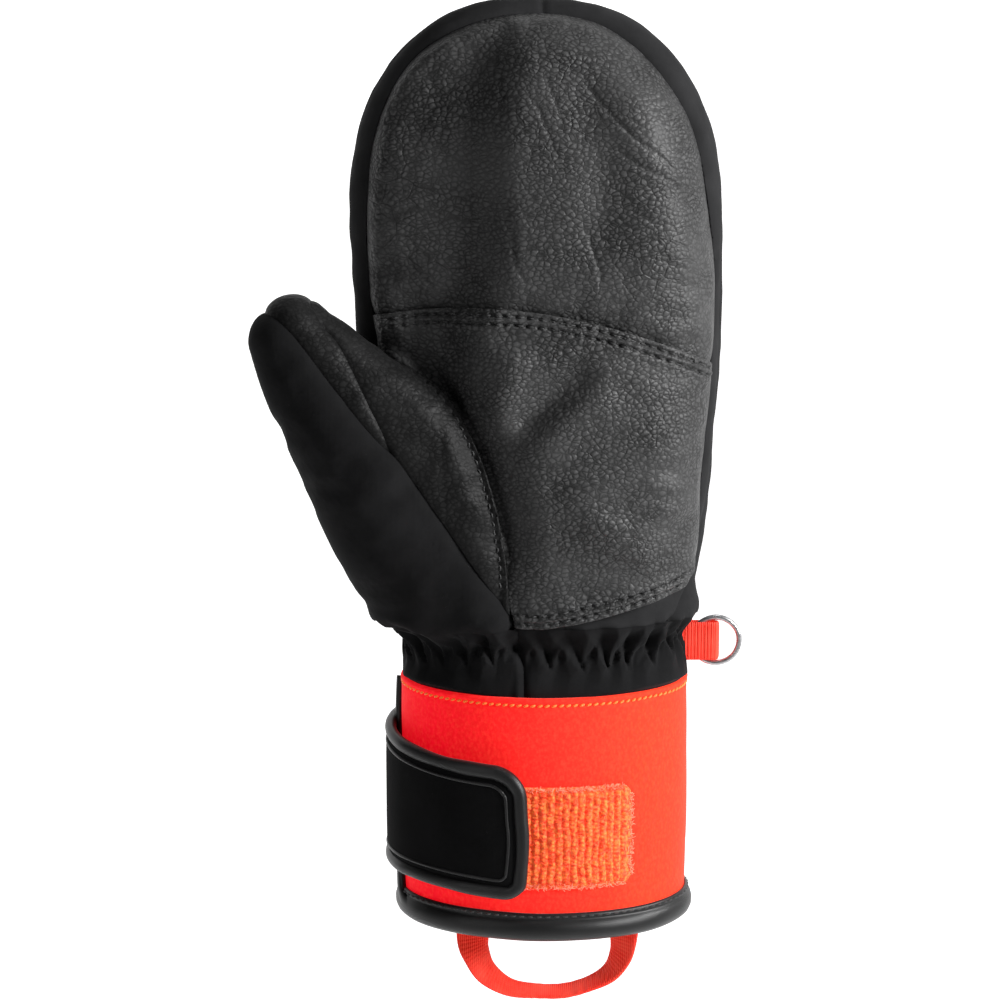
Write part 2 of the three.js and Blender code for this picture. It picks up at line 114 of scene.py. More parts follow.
class Shader:
    """A small builder for one Principled material."""

    def __init__(self, name):
        self.material = bpy.data.materials.new(name)
        self.material.use_nodes = True
        self.tree = self.material.node_tree
        self.tree.nodes.clear()
        self.bsdf = self.add("ShaderNodeBsdfPrincipled")
        out = self.add("ShaderNodeOutputMaterial")
        self.link(self.bsdf.outputs[0], out.inputs[0])
        self.coords = self.add("ShaderNodeTexCoord").outputs["Object"]
        self.normal = None

    def add(self, kind, **settings):
        node = self.tree.nodes.new(kind)
        for key, value in settings.items():
            setattr(node, key, value)
        return node

    def link(self, a, b):
        self.tree.links.new(a, b)

    def put(self, socket, value):
        """value is a number, a colour or another node's output."""
        if hasattr(value, "links"):
            self.link(value, socket)
        else:
            socket.default_value = value

    def set(self, **values):
        for key, value in values.items():
            if isinstance(value, tuple) and len(value) == 3:
                value = (*value, 1)
            self.put(self.bsdf.inputs[key.replace("_", " ")], value)

    def scaled(self, scale):
        mapping = self.add("ShaderNodeMapping")
        self.link(self.coords, mapping.inputs["Vector"])
        mapping.inputs["Scale"].default_value = scale
        return mapping.outputs[0]

    def noise(self, per_metre, detail=3, rough=0.55, distortion=0.0, vector=None):
        node = self.add("ShaderNodeTexNoise")
        self.link(vector or self.coords, node.inputs["Vector"])
        node.inputs["Scale"].default_value = per_metre
        node.inputs["Detail"].default_value = detail
        node.inputs["Roughness"].default_value = rough
        node.inputs["Distortion"].default_value = distortion
        return node.outputs["Fac"]

    def cells(self, per_metre, feature="F1", vector=None, smooth=None):
        node = self.add("ShaderNodeTexVoronoi", feature=feature)
        self.link(vector or self.coords, node.inputs["Vector"])
        node.inputs["Scale"].default_value = per_metre
        if smooth is not None:
            node.inputs["Smoothness"].default_value = smooth
        return node.outputs["Distance"]

    def along(self, axis):
        """The coordinate along one axis, in metres."""
        split = self.add("ShaderNodeSeparateXYZ")
        self.link(self.coords, split.inputs[0])
        return split.outputs[axis]

    def bands(self, per_metre, axis, distortion=0.0):
        node = self.add("ShaderNodeTexWave", wave_type="BANDS", bands_direction=axis)
        self.link(self.coords, node.inputs["Vector"])
        node.inputs["Scale"].default_value = per_metre
        node.inputs["Distortion"].default_value = distortion
        return node.outputs["Fac"]

    def maths(self, how, a, b=0.0):
        node = self.add("ShaderNodeMath", operation=how)
        self.put(node.inputs[0], a)
        self.put(node.inputs[1], b)
        return node.outputs[0]

    def spread(self, value, low, high, to_low=0.0, to_high=1.0):
        node = self.add("ShaderNodeMapRange")
        self.put(node.inputs["Value"], value)
        limits = {"From Min": low, "From Max": high, "To Min": to_low, "To Max": to_high}
        for key, number in limits.items():
            node.inputs[key].default_value = number
        return node.outputs["Result"]

    def mix(self, share, a, b):
        node = self.add("ShaderNodeMix", data_type="RGBA")
        self.put(node.inputs[0], share)
        self.put(node.inputs[6], a if hasattr(a, "links") else (*a, 1))
        self.put(node.inputs[7], b if hasattr(b, "links") else (*b, 1))
        return node.outputs[2]

    def bump(self, height, depth_mm, strength=1.0):
        node = self.add("ShaderNodeBump")
        self.put(node.inputs["Height"], height)
        node.inputs["Distance"].default_value = depth_mm * MM
        node.inputs["Strength"].default_value = strength
        if self.normal is not None:
            self.link(self.normal, node.inputs["Normal"])
        self.normal = node.outputs[0]
        self.link(self.normal, self.bsdf.inputs["Normal"])


GRAIN = 640  # pebbles of the hide in a metre
SWIRL = 0.0011  # how far the grain wanders, in metres
WIDE_GRAIN = (0.88, 0.88, 1.2)  # pebbles are wider than they are tall


def wandering_coords(s):
    """Object coordinates bent by noise, so that cells lose their straight edges."""
    swirl = s.add("ShaderNodeTexNoise")
    s.link(s.coords, swirl.inputs["Vector"])
    swirl.inputs["Scale"].default_value = 420
    swirl.inputs["Detail"].default_value = 3
    warp = s.add("ShaderNodeVectorMath", operation="MULTIPLY_ADD")
    s.link(swirl.outputs["Color"], warp.inputs[0])
    warp.inputs[1].default_value = (SWIRL, SWIRL, SWIRL)
    s.link(s.scaled(WIDE_GRAIN), warp.inputs[2])
    return warp.outputs[0]


def make_leather(name="leather", grain=1.0, dark=0.0028, light=0.048, gloss=0.28):
    s = Shader(name)
    warped = wandering_coords(s)
    edge = s.cells(GRAIN, "DISTANCE_TO_EDGE", warped)
    split = s.cells(150, "DISTANCE_TO_EDGE", warped)
    pebble = s.cells(GRAIN, "SMOOTH_F1", warped, smooth=0.35)
    small = s.cells(1500, "SMOOTH_F1", warped, smooth=0.4)
    lines = s.spread(edge, 0.0, 0.28)
    depth = s.spread(s.noise(55, 3), 0.35, 0.65, 0.55, 1.0)
    long_crease = s.maths("SUBTRACT", 1.0, s.spread(split, 0.0, 0.055))
    long_crease = s.maths("MULTIPLY", long_crease, s.spread(s.noise(28, 3), 0.47, 0.6))
    wear = s.noise(30, 4, 0.6)
    broad = s.noise(150, 4, 0.6)
    # the grain's creases and long creases are painted darker: partly the hide's own darker creases, partly
    # painted shade in their valleys
    crease = s.maths("MULTIPLY", s.maths("SUBTRACT", 1.0, lines), depth)
    crease = s.maths("MAXIMUM", crease, long_crease)
    tone = s.mix(crease, (light, light, light * 1.01), (dark, dark, dark))
    worn = light * 1.5
    tone = s.mix(s.spread(wear, 0.42, 0.75, 0, 0.25), tone, (worn, worn, worn))
    s.set(Base_Color=tone, Roughness=s.spread(broad, 0.3, 0.7, 0.46, 0.58))
    s.set(Specular_IOR_Level=gloss)
    s.bump(broad, 0.4 * grain, 0.4)
    s.bump(s.maths("MULTIPLY", pebble, s.maths("MULTIPLY", depth, -1)), 0.44 * grain, 0.85)
    s.bump(s.maths("MULTIPLY", lines, depth), 0.12 * grain, 0.8)
    s.bump(s.maths("MULTIPLY", long_crease, -1), 0.16 * grain, 0.7)
    s.bump(s.maths("MULTIPLY", small, -1), 0.05 * grain, 0.6)
    return s.material


def make_softshell(name="softshell", tone=(0.0055, 0.0055, 0.0058), sheen=0.02):
    s = Shader(name)
    weave_a = s.bands(900, "X", 0.4)
    weave_b = s.bands(900, "Z", 0.4)
    weave = s.maths("MULTIPLY", weave_a, weave_b)
    lint = s.spread(s.cells(170, "F1"), 0.0, 0.055, 1, 0)
    patchy = s.noise(60, 4, 0.6)
    colour = s.mix(s.spread(patchy, 0.35, 0.7), tone, tuple(1.7 * c for c in tone))
    colour = s.mix(s.maths("MULTIPLY", lint, 0.1), colour, (0.08, 0.08, 0.08))
    s.set(Base_Color=colour, Roughness=s.spread(weave, 0, 1, 0.95, 0.82), Specular_IOR_Level=0.1)
    s.set(Sheen_Weight=sheen, Sheen_Roughness=0.45, Sheen_Tint=(0.75, 0.77, 0.8))
    s.bump(s.noise(130, 4), 0.3, 0.4)
    s.bump(weave, 0.06, 0.7)
    return s.material


def make_neoprene():
    s = Shader("neoprene")
    # painted light: towards +x, the key light's side, the neoprene is painted lighter and more orange, as its
    # lit side
    across = s.spread(s.along("X"), -0.034, 0.03)
    knit = s.cells(1050, "F1", s.scaled((1, 1, 0.62)))
    mottle = s.noise(900, 3, 0.7)
    red = s.mix(across, (0.72, 0.003, 0.013), (0.72, 0.030, 0.006))
    deep = s.mix(across, (0.58, 0.0, 0.006), (0.62, 0.017, 0.004))
    colour = s.mix(s.spread(knit, 0.1, 0.62, 0, 0.8), red, deep)
    colour = s.mix(s.spread(mottle, 0.45, 0.75, 0, 0.25), colour, (0.85, 0.06, 0.03))
    s.set(Base_Color=colour, Roughness=0.82, Specular_IOR_Level=0.25)
    s.set(Sheen_Weight=0.1, Sheen_Roughness=0.5, Sheen_Tint=(1.0, 0.5, 0.4))
    # painted glow: the neoprene shines in its own colour though it is no lamp, which flattens its shading
    s.set(Emission_Color=colour, Emission_Strength=1.0)
    s.bump(s.maths("MULTIPLY", knit, -1), 0.05, 0.7)
    return s.material


def make_binding():
    s = Shader("binding")
    threads = s.bands(1300, "DIAGONAL", 0.3)
    broad = s.noise(70, 3)
    colour = s.mix(s.spread(broad, 0.35, 0.7), (0.003, 0.003, 0.0032), (0.0065, 0.0065, 0.0068))
    s.set(Base_Color=colour, Roughness=s.spread(threads, 0, 1, 0.36, 0.48), Specular_IOR_Level=0.4)
    s.set(Sheen_Weight=0.08, Sheen_Roughness=0.4)
    s.bump(broad, 0.4, 0.35)
    s.bump(threads, 0.035, 0.6)
    return s.material


def make_webbing():
    s = Shader("webbing")
    warp = s.bands(330, "Y", 0.0)
    rib = s.bands(520, "X", 0.15)
    broad = s.noise(160, 4, 0.6)
    colour = s.mix(s.spread(rib, 0.1, 0.9), (0.78, 0.012, 0.008), (1.0, 0.05, 0.022))
    colour = s.mix(s.spread(broad, 0.4, 0.75, 0, 0.4), colour, (1.0, 0.11, 0.06))
    s.set(Base_Color=colour, Roughness=0.68, Specular_IOR_Level=0.35)
    s.set(Sheen_Weight=0.1, Sheen_Roughness=0.4, Sheen_Tint=(1.0, 0.5, 0.4))
    # painted glow: the webbing shines in its own colour though it is no lamp
    s.set(Emission_Color=colour, Emission_Strength=0.3)
    s.bump(rib, 0.16, 0.9)
    s.bump(warp, 0.04, 0.5)
    return s.material


def make_loop_tape():
    s = Shader("loop_tape")
    tangle = s.noise(1500, 6, 0.75, 0.6)
    tufts = s.cells(760, "F1")
    colour = s.mix(s.spread(tufts, 0.1, 0.7), (1.0, 0.2, 0.03), (0.86, 0.035, 0.008))
    colour = s.mix(s.spread(tangle, 0.45, 0.75, 0, 0.8), colour, (1.0, 0.3, 0.12))
    s.set(Base_Color=colour, Roughness=0.75, Specular_IOR_Level=0.3)
    s.set(Sheen_Weight=0.1, Sheen_Roughness=0.4, Sheen_Tint=(1.0, 0.6, 0.4))
    # painted glow: the loop tape shines in its own colour though it is no lamp
    s.set(Emission_Color=colour, Emission_Strength=0.22)
    s.bump(s.maths("MULTIPLY", tufts, -1), 0.35, 0.9)
    s.bump(tangle, 0.2, 0.9)
    return s.material


def make_hook_tape():
    s = Shader("hook_tape")
    hooks = s.cells(900, "F1")
    colour = s.mix(s.spread(hooks, 0.05, 0.4), (0.05, 0.05, 0.052), (0.008, 0.008, 0.008))
    s.set(Base_Color=colour, Roughness=0.45)
    s.bump(s.maths("MULTIPLY", hooks, -1), 0.6, 1.0)
    return s.material


def make_fleece():
    s = Shader("fleece")
    pile = s.noise(900, 6, 0.7, 0.4)
    curls = s.cells(420, "F1")
    colour = s.mix(s.spread(pile, 0.35, 0.7), (0.02, 0.02, 0.022), (0.055, 0.056, 0.06))
    s.set(Base_Color=colour, Roughness=0.95, Sheen_Weight=0.5, Sheen_Roughness=0.6)
    s.bump(curls, 0.5, 0.6)
    s.bump(pile, 0.3, 0.9)
    return s.material


def make_steel():
    s = Shader("steel")
    smear = s.noise(500, 4, 0.6, 0.0, s.scaled((1, 1, 6)))
    colour = s.mix(s.spread(smear, 0.4, 0.7), (0.4, 0.4, 0.41), (0.6, 0.6, 0.61))
    s.set(Base_Color=colour, Metallic=0.85, Roughness=s.spread(smear, 0.3, 0.7, 0.22, 0.36))
    s.bump(smear, 0.02, 0.5)
    return s.material


def make_thread(name, dark, light, glow=0.0):
    s = Shader(name)
    twist = s.bands(1600, "DIAGONAL", 0.5)
    colour = s.mix(s.spread(twist, 0.1, 0.9), dark, light)
    s.set(Base_Color=colour, Roughness=0.5, Specular_IOR_Level=0.45)
    # painted glow: with glow set, the thread shines in its own colour though it is no lamp
    if glow:
        s.set(Emission_Color=colour, Emission_Strength=glow)
    s.bump(twist, 0.06, 0.8)
    return s.material


def make_plain_cloth(name, dark, light, per_metre=1100):
    s = Shader(name)
    weave = s.maths("MULTIPLY", s.bands(per_metre, "X", 0.2), s.bands(per_metre, "Z", 0.2))
    s.set(Base_Color=s.mix(s.spread(weave, 0, 1), dark, light), Roughness=0.85)
    s.bump(weave, 0.1, 0.8)
    return s.material


LEATHER = make_leather()
# the thumb's leather has a smoother grain, and is painted darker than the palm's: painted shade, since the
# thumb faces the key light
THUMB_LEATHER = make_leather("thumb_leather", 0.45, 0.003, 0.0115, 0.1)
SOFTSHELL = make_softshell()
# the band's softshell is painted lighter than the rest of the shell: a painted highlight standing for its lit
# sheen
BAND_CLOTH = make_softshell("band_softshell", (0.013, 0.013, 0.0135), 0.0)
TAB_CLOTH = make_softshell("tab_cloth", (0.003, 0.003, 0.0032), 0.0)
NEOPRENE = make_neoprene()
BINDING = make_binding()
WEBBING = make_webbing()
LOOP_TAPE = make_loop_tape()
HOOK_TAPE = make_hook_tape()
FLEECE = make_fleece()
STEEL = make_steel()
BLACK_THREAD = make_thread("black_thread", (0.01, 0.01, 0.01), (0.045, 0.045, 0.046))
# the red thread and the pale fuzz have a painted glow
RED_THREAD = make_thread("red_thread", (0.92, 0.1, 0.01), (1.0, 0.25, 0.05), 0.25)
PALE_FUZZ = make_thread("pale_fuzz", (0.95, 0.2, 0.1), (1.0, 0.42, 0.28), 0.15)
ELASTIC = make_plain_cloth("elastic", (0.45, 0.45, 0.44), (0.75, 0.75, 0.73))
LABEL = make_plain_cloth("label", (0.62, 0.62, 0.6), (0.85, 0.85, 0.83), 1600)

# ---------------------------------------------------------------- mesh helpers


def piece(name, points, faces, material, slot=None):
    """A new object from points in millimetres."""
    mesh = bpy.data.meshes.new(name)
    mesh.from_pydata([tuple(p) for p in np.asarray(points) * MM], [], [tuple(f) for f in faces])
    mesh.materials.append(material)
    mesh.validate()
    shape = bmesh.new()
    shape.from_mesh(mesh)
    bmesh.ops.recalc_face_normals(shape, faces=shape.faces)
    shape.to_mesh(mesh)
    shape.free()
    mesh.polygons.foreach_set("use_smooth", np.ones(len(mesh.polygons), bool))
    made = add_object(name, mesh)
    return made


def riding_piece(body, name, shape, material, slot, *nodes):
    """A piece that moves with one body, and stands for the CAD nodes that are named."""
    made = piece(name, *shape, material, slot)
    if nodes:
        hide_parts(*nodes)
    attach(made, body)
    return made


def grid_faces(rows, columns, wrap_rows=False, wrap_columns=False):
    """Quads over a grid of points laid out row by row."""
    i = np.arange(rows if wrap_rows else rows - 1)
    j = np.arange(columns if wrap_columns else columns - 1)
    a, b = np.meshgrid(i, j, indexing="ij")
    a, b = a.ravel(), b.ravel()
    c, d = (a + 1) % rows, (b + 1) % columns
    return np.stack([a * columns + b, c * columns + b, c * columns + d, a * columns + d], 1)


def slab(outer, inner, rows, columns):
    """Two skins of points laid out row by row, and the walls between their edges."""
    n = rows * columns
    rim = np.concatenate([
        np.arange(columns),
        np.arange(1, rows) * columns + columns - 1,
        (rows - 1) * columns + np.arange(columns - 2, -1, -1),
        np.arange(rows - 2, 0, -1) * columns,
    ])
    faces = grid_faces(rows, columns)
    walls = np.stack([rim, np.roll(rim, -1), np.roll(rim, -1) + n, rim + n], 1)
    return np.vstack([outer, inner]), np.vstack([faces, faces[:, ::-1] + n, walls])


def sweep(sections, wrap=False):
    """Closed skin over sections, an array (steps, corners, 3), with fan ends unless it wraps."""
    steps, corners = sections.shape[:2]
    points = sections.reshape(-1, 3)
    faces = [tuple(q) for q in grid_faces(steps, corners, wrap, True)]
    if not wrap:
        ends = [sections[0].mean(0), sections[-1].mean(0)]
        points = np.vstack([points, ends])
        n = steps * corners
        for k in range(corners):
            after = (k + 1) % corners
            faces.append((n, k, after))
            faces.append((n + 1, (steps - 1) * corners + after, (steps - 1) * corners + k))
    return points, faces


def frames_along(path, up, wrap=False):
    """Sideways and upward directions along a path, with up given for each point."""
    if wrap:
        tangent = unit(np.roll(path, -1, 0) - np.roll(path, 1, 0))
    else:
        tangent = unit(np.gradient(path, axis=0))
    side = unit(np.cross(up, tangent))
    return side, np.cross(tangent, side)


def swept(path, up, profile, wrap=False):
    """A profile of [side, up] corners carried along a path: one for all steps, or profile(k) at step k."""
    side, rise = frames_along(path, up, wrap)
    rings = []
    for k in range(len(path)):
        corners = profile(k) if callable(profile) else profile
        rings.append(path[k] + corners[:, :1] * side[k] + corners[:, 1:] * rise[k])
    return sweep(np.array(rings), wrap)


def oval(width, height, corners=10, power=2.0):
    """Corners of an oval, from its two half-sizes. A higher power makes it squarer."""
    angle = np.arange(corners) / corners * TAU
    ring = np.stack([np.cos(angle), np.sin(angle)], 1)
    return np.sign(ring) * np.abs(ring) ** (2 / power) * [width, height]


def smooth_path(points, count, closed=False):
    """A Catmull-Rom curve through points, resampled to even steps."""
    p = np.array(points, float)
    n = len(p)
    pick = (lambda i: p[i % n]) if closed else (lambda i: p[min(max(i, 0), n - 1)])
    fine = []
    for i in range(n if closed else n - 1):
        a, b, c, d = pick(i - 1), pick(i), pick(i + 1), pick(i + 2)
        for t in np.linspace(0, 1, 24, endpoint=False):
            fine.append(0.5 * (2 * b + (c - a) * t + (2 * a - 5 * b + 4 * c - d) * t**2
                               + (3 * b - 3 * c + d - a) * t**3))
    fine.append(pick(0) if closed else p[-1])
    fine = np.array(fine)
    along = run_along(fine)
    want = np.linspace(0, along[-1], count + 1 if closed else count)
    out = np.stack([np.interp(want, along, fine[:, k]) for k in range(p.shape[1])], 1)
    return out[:-1] if closed else out


def join_parts(parts):
    """One list of points and faces from several."""
    points, faces, first = [], [], 0
    for p, f in parts:
        points.append(np.asarray(p))
        faces += [tuple(int(v) + first for v in face) for face in f]
        first += len(p)
    return np.vstack(points), faces


def noise3(points, size, seed):
    """Smooth value noise in 0..1 at points, size is the grain in millimetres."""
    q = points / size + seed * 17.31
    cell = np.floor(q).astype(np.int64)
    f = q - cell
    f = f * f * (3 - 2 * f)
    total = np.zeros(len(points))
    for dx in (0, 1):
        for dy in (0, 1):
            for dz in (0, 1):
                h = (cell[:, 0] + dx) * 73856093
                h ^= (cell[:, 1] + dy) * 19349663
                h ^= (cell[:, 2] + dz) * 83492791
                h = (h ^ (h >> 13)) * 1274126177 & 0x7FFFFFFF
                value = (h % 10007) / 10007
                wx = f[:, 0] if dx else 1 - f[:, 0]
                wy = f[:, 1] if dy else 1 - f[:, 1]
                wz = f[:, 2] if dz else 1 - f[:, 2]
                total += value * wx * wy * wz
    return total


def fade(value, low, high):
    """0 below low, 1 above high, smooth between."""
    t = np.clip((value - low) / (high - low), 0, 1)
    return t * t * (3 - 2 * t)


# ---------------------------------------------------------------- the body of the hand and thumb

CUFF_TOP = node_box("cuff_sleeve")[1][2]
HAND_BASE = node_box("wadding_hand")[0][2]
TIP_Z = node_box("side_band_tips")[1][2]
KNUCKLE = node_box("back_panel_upper")[0][2]
DOME_Z = 207.0
DOME_POWER = 2.3
SECTION_POWER = 2.5
# height, centre x, half-width, centre y, half-depth: the CAD's cross-sections
HAND = np.array([
    [58, 0.4, 41.4, 0, 28.4], [80, 0.3, 42.1, 0, 28.6], [94, 0, 44.4, -0.5, 29.2],
    [112, -0.4, 47.6, -1, 29.6], [134, -0.9, 50.3, -1.4, 29.6], [160, -1.7, 53, -1.8, 28.7],
    [184, -2.2, 54.1, -2.4, 27.3], [DOME_Z, -2.8, 54.5, -3, 25.6], [300, -3.9, 54.5, -3, 25.6],
])
# x, y, z and radius along the thumb
THUMB = np.array([
    [-24, -5, 80, 16], [-27.5, -8, 92, 18], [-33, -12, 106, 21.2], [-41, -16.5, 123, 22.3],
    [-55.5, -22.5, 150, 19.3], [-66.6, -26, 167, 15], [-73, -27.6, 177.8, 11.9],
])
# the ball of the thumb reaches over the palm and ends in a tighter curve
THUMB_BALL = np.array([
    [-15, -19.5, 80, 8.6], [-17, -24.3, 92, 8.6], [-20.6, -26.4, 101, 8.6], [-22.8, -27.1, 116, 9],
    [-27.6, -27.7, 134, 9], [-34.8, -28.1, 149, 9], [-44.5, -28.6, 160, 9], [-57, -28.4, 168, 10],
    [-73, -27.6, 177.8, 11.9],
])
STEP = 1.35
LOW = np.array([-92.0, -49.0, 68.2])
HIGH = np.array([61.0, 36.0, 278.0])


def sections_at(z):
    """Centre x, half-width, centre y and half-depth of the hand at heights z, without the dome."""
    levels = np.arange(40, 300, 1.0)
    reach = 18
    kernel = np.exp(-0.5 * (np.arange(-reach, reach + 1) / 6.0) ** 2)
    kernel /= kernel.sum()
    out = []
    for k in range(1, 5):
        raw = np.interp(levels, HAND[:, 0], HAND[:, k])
        soft = np.convolve(np.pad(raw, reach, mode="edge"), kernel, "valid")
        out.append(np.interp(z, levels, soft))
    return out


def hand_radius(points):
    """1 on the hand's surface, less inside."""
    x, y, z = points[..., 0], points[..., 1], points[..., 2]
    cx, a, cy, b = sections_at(z)
    t = np.maximum(z - DOME_Z, 0) / (TIP_Z - DOME_Z)
    inside = np.minimum(t, 0.9995)
    narrow = (1 - inside**DOME_POWER) ** (1 / DOME_POWER) / (1 - inside**2) ** 0.5
    u, v = np.abs(x - cx) / a, np.abs(y - cy) / b * narrow
    flat = (u**SECTION_POWER + v**SECTION_POWER) ** (1 / SECTION_POWER)
    return (flat**DOME_POWER + t**DOME_POWER) ** (1 / DOME_POWER)


def thumb_distance(points):
    """How far points are outside the balls strung between the thumb's two lines."""
    outer, ball = smooth_path(THUMB, 44), smooth_path(THUMB_BALL, 44)
    shares = (0, 0.22, 0.42, 0.6, 0.75, 0.88, 1)
    samples = np.vstack([outer * (1 - share) + ball * share for share in shares])
    best = np.full(len(points), 1e3)
    for x, y, z, r in samples:
        dx, dy, dz = points[:, 0] - x, points[:, 1] - y, points[:, 2] - z
        np.minimum(best, np.sqrt(dx**2 + dy**2 + dz**2) - r, out=best)
    return best


class Field:
    """Distances to the hand and the thumb on a grid, read back at any point."""

    def __init__(self):
        most = 14.0
        counts = np.ceil((HIGH - LOW) / STEP).astype(int) + 1
        axes = [LOW[k] + STEP * np.arange(counts[k]) for k in range(3)]
        nodes = np.stack(np.meshgrid(*axes, indexing="ij"), -1)
        radius = hand_radius(nodes) - 1
        slope = np.sqrt(sum(g**2 for g in np.gradient(radius, STEP)))
        self.hand = np.clip(radius / np.maximum(slope, 0.012), -most, most)
        flat = nodes.reshape(-1, 3)
        near = (flat[:, 0] < 10) & (flat[:, 2] < 200)
        thumb = np.full(len(flat), most)
        thumb[near] = np.clip(thumb_distance(flat[near]), -24, most)
        self.thumb = thumb.reshape(self.hand.shape)
        blend = 4.5
        share = np.clip(0.5 + 0.5 * (self.hand - self.thumb) / blend, 0, 1)
        self.both = self.hand * (1 - share) + self.thumb * share - blend * share * (1 - share)

    def read(self, grid, points):
        """The grid's value at points, blended from the eight nodes round each."""
        q = (points - LOW) / STEP
        top = np.array(grid.shape) - 1.001
        q = np.clip(q, 0, top)
        i = q.astype(int)
        f = q - i
        total = np.zeros(len(points))
        for corner in range(8):
            d = np.array([corner >> 2 & 1, corner >> 1 & 1, corner & 1])
            w = np.prod(np.where(d, f, 1 - f), axis=1)
            j = i + d
            total += w * grid[j[:, 0], j[:, 1], j[:, 2]]
        return total

    def slope(self, grid, points, h=1.0):
        """The grid's gradient at points."""
        out = []
        for k in range(3):
            d = np.zeros(3)
            d[k] = h
            out.append((self.read(grid, points + d) - self.read(grid, points - d)) / (2 * h))
        return np.stack(out, 1)

    def settle(self, points, level=0.0, rounds=3, keep_z=None):
        """Moves points on to the surface that lies level outside the body."""
        for _ in range(rounds):
            value = self.read(self.both, points) - level
            g = self.slope(self.both, points)
            if keep_z is not None:
                g[keep_z, 2] = 0
            points = points - g * (value / np.maximum((g**2).sum(1), 0.05))[:, None]
        return points


def surface_nets(grid, origin, step):
    """A quad mesh of the grid's zero level, open where the grid ends."""
    cells = np.array(grid.shape) - 1
    total = np.zeros((*cells, 3))
    count = np.zeros(tuple(cells))
    for axis in range(3):
        others = [k for k in range(3) if k != axis]
        for p in (0, 1):
            for q in (0, 1):
                low = np.zeros(3, int)
                low[others[0]], low[others[1]] = p, q
                high = low.copy()
                high[axis] = 1
                a = grid[tuple(slice(low[k], low[k] + cells[k]) for k in range(3))]
                b = grid[tuple(slice(high[k], high[k] + cells[k]) for k in range(3))]
                crossed = (a < 0) != (b < 0)
                t = np.where(crossed, a / np.where(crossed, a - b, 1), 0)
                for k in range(3):
                    total[..., k] += np.where(crossed, t if k == axis else low[k], 0)
                count += crossed
    used = count > 0
    number = np.full(tuple(cells), -1)
    number[used] = np.arange(used.sum())
    points = (np.argwhere(used) + total[used] / count[used][:, None]) * step + origin
    faces = []
    for axis in range(3):
        e1, e2 = [k for k in range(3) if k != axis]
        span = [slice(1, n - 1) for n in grid.shape]
        span[axis] = slice(0, grid.shape[axis] - 1)
        after = list(span)
        after[axis] = slice(1, grid.shape[axis])
        a, b = grid[tuple(span)] < 0, grid[tuple(after)] < 0
        start = np.ones(3, int)
        start[axis] = 0
        at = np.argwhere(a != b) + start
        out = a[a != b]
        one, two = np.eye(3, dtype=int)[e1], np.eye(3, dtype=int)[e2]
        quad = np.stack([number[tuple((at - s).T)] for s in (0 * one, one, one + two, two)], 1)
        turn = out if axis != 1 else ~out
        quad[~turn] = quad[~turn][:, ::-1]
        faces.append(quad)
    return points, np.vstack(faces)


def split_quads(points, quads):
    """Each quad becomes four."""
    n = len(points)
    edges = np.sort(np.stack([quads, np.roll(quads, -1, 1)], -1).reshape(-1, 2), 1)
    unique, where = np.unique(edges[:, 0] * n + edges[:, 1], return_inverse=True)
    middle = (points[unique // n] + points[unique % n]) / 2
    where = where.reshape(-1, 4) + n
    centre = points[quads].mean(1)
    c = n + len(unique) + np.arange(len(quads))
    small = [np.stack([quads[:, k], where[:, k], c, where[:, k - 1]], 1) for k in range(4)]
    return np.vstack([points, middle, centre]), np.vstack(small)


def face_sums(points, faces):
    """At each vertex, the sum of the normals of its quads or triangles, longer for larger ones."""
    a = points[faces[:, 0]]
    if faces.shape[1] == 4:
        cross = np.cross(points[faces[:, 2]] - a, points[faces[:, 3]] - points[faces[:, 1]])
    else:
        cross = np.cross(points[faces[:, 1]] - a, points[faces[:, 2]] - a)
    total = np.zeros_like(points)
    for k in range(faces.shape[1]):
        for c in range(3):
            total[:, c] += np.bincount(faces[:, k], cross[:, c], len(points))
    return total


def scaled_normals(total):
    return total / np.maximum(np.linalg.norm(total, axis=1), 1e-9)[:, None]


def normals_of(points, faces):
    """Vertex normals of a mesh of quads or triangles."""
    return scaled_normals(face_sums(points, faces))


# ---------------------------------------------------------------- seam lines, as x and z on the palm

PALM_EDGE = smooth_path([
    (-2, 270.6), (17, 266.4), (32.5, 253.8), (43.6, 235.5), (49.2, 209), (51.0, 186), (49.9, 163),
    (47.6, 135), (44.8, 103.6), (20, 80), (-10, 76), (-26, 90), (-32, 115), (-40, 140), (-46, 158),
    (-50, 172), (-52.8, 190), (-53.4, 216), (-50, 239.4), (-39.2, 257.6), (-22, 267.6),
], 220, True)
BACK_EDGE = smooth_path([
    (-2.5, 270.2), (16, 266), (31, 255), (43.4, 236), (48.6, 212), (49.4, 186), (48, 158), (43.5, 118),
    (39, 60), (0, 40), (-38, 60), (-45.6, 118), (-51.6, 158), (-54, 186), (-54, 212), (-49.4, 236),
    (-36, 256.5), (-20, 266.5),
], 220, True)
THUMB_PANEL_EDGE = smooth_path([
    (-95, 186.5), (-83, 185.6), (-77.4, 184.4), (-70.6, 177.6), (-59.5, 163.2), (-48.6, 149.6),
    (-42, 142.6), (-31, 126.4), (-19.8, 109.4), (-12.4, 98.6), (-7.6, 89), (-6.2, 71), (-6, 55),
], 150)
THUMB_STRIP_EDGE = smooth_path([
    (-76, 205), (-67.6, 188), (-59, 176), (-52, 161.7), (-46.4, 150), (-43.2, 141), (-38, 128),
], 90)
# the palm lies deeper on the thumb's side of this line
PALM_STEP = np.array([
    (-11.3, 269.1), (-15.1, 249.9), (-17.4, 227.9), (-16.4, 204.0), (-21.1, 188.1),
    (-25.7, 174.9), (-24.1, 162.6), (-17.1, 150.8), (-11.2, 136.5), (-8.8, 118.6),
    (-8.2, 102.0), (-8.0, 80.0),
])
STEP_HEIGHT = 7.2
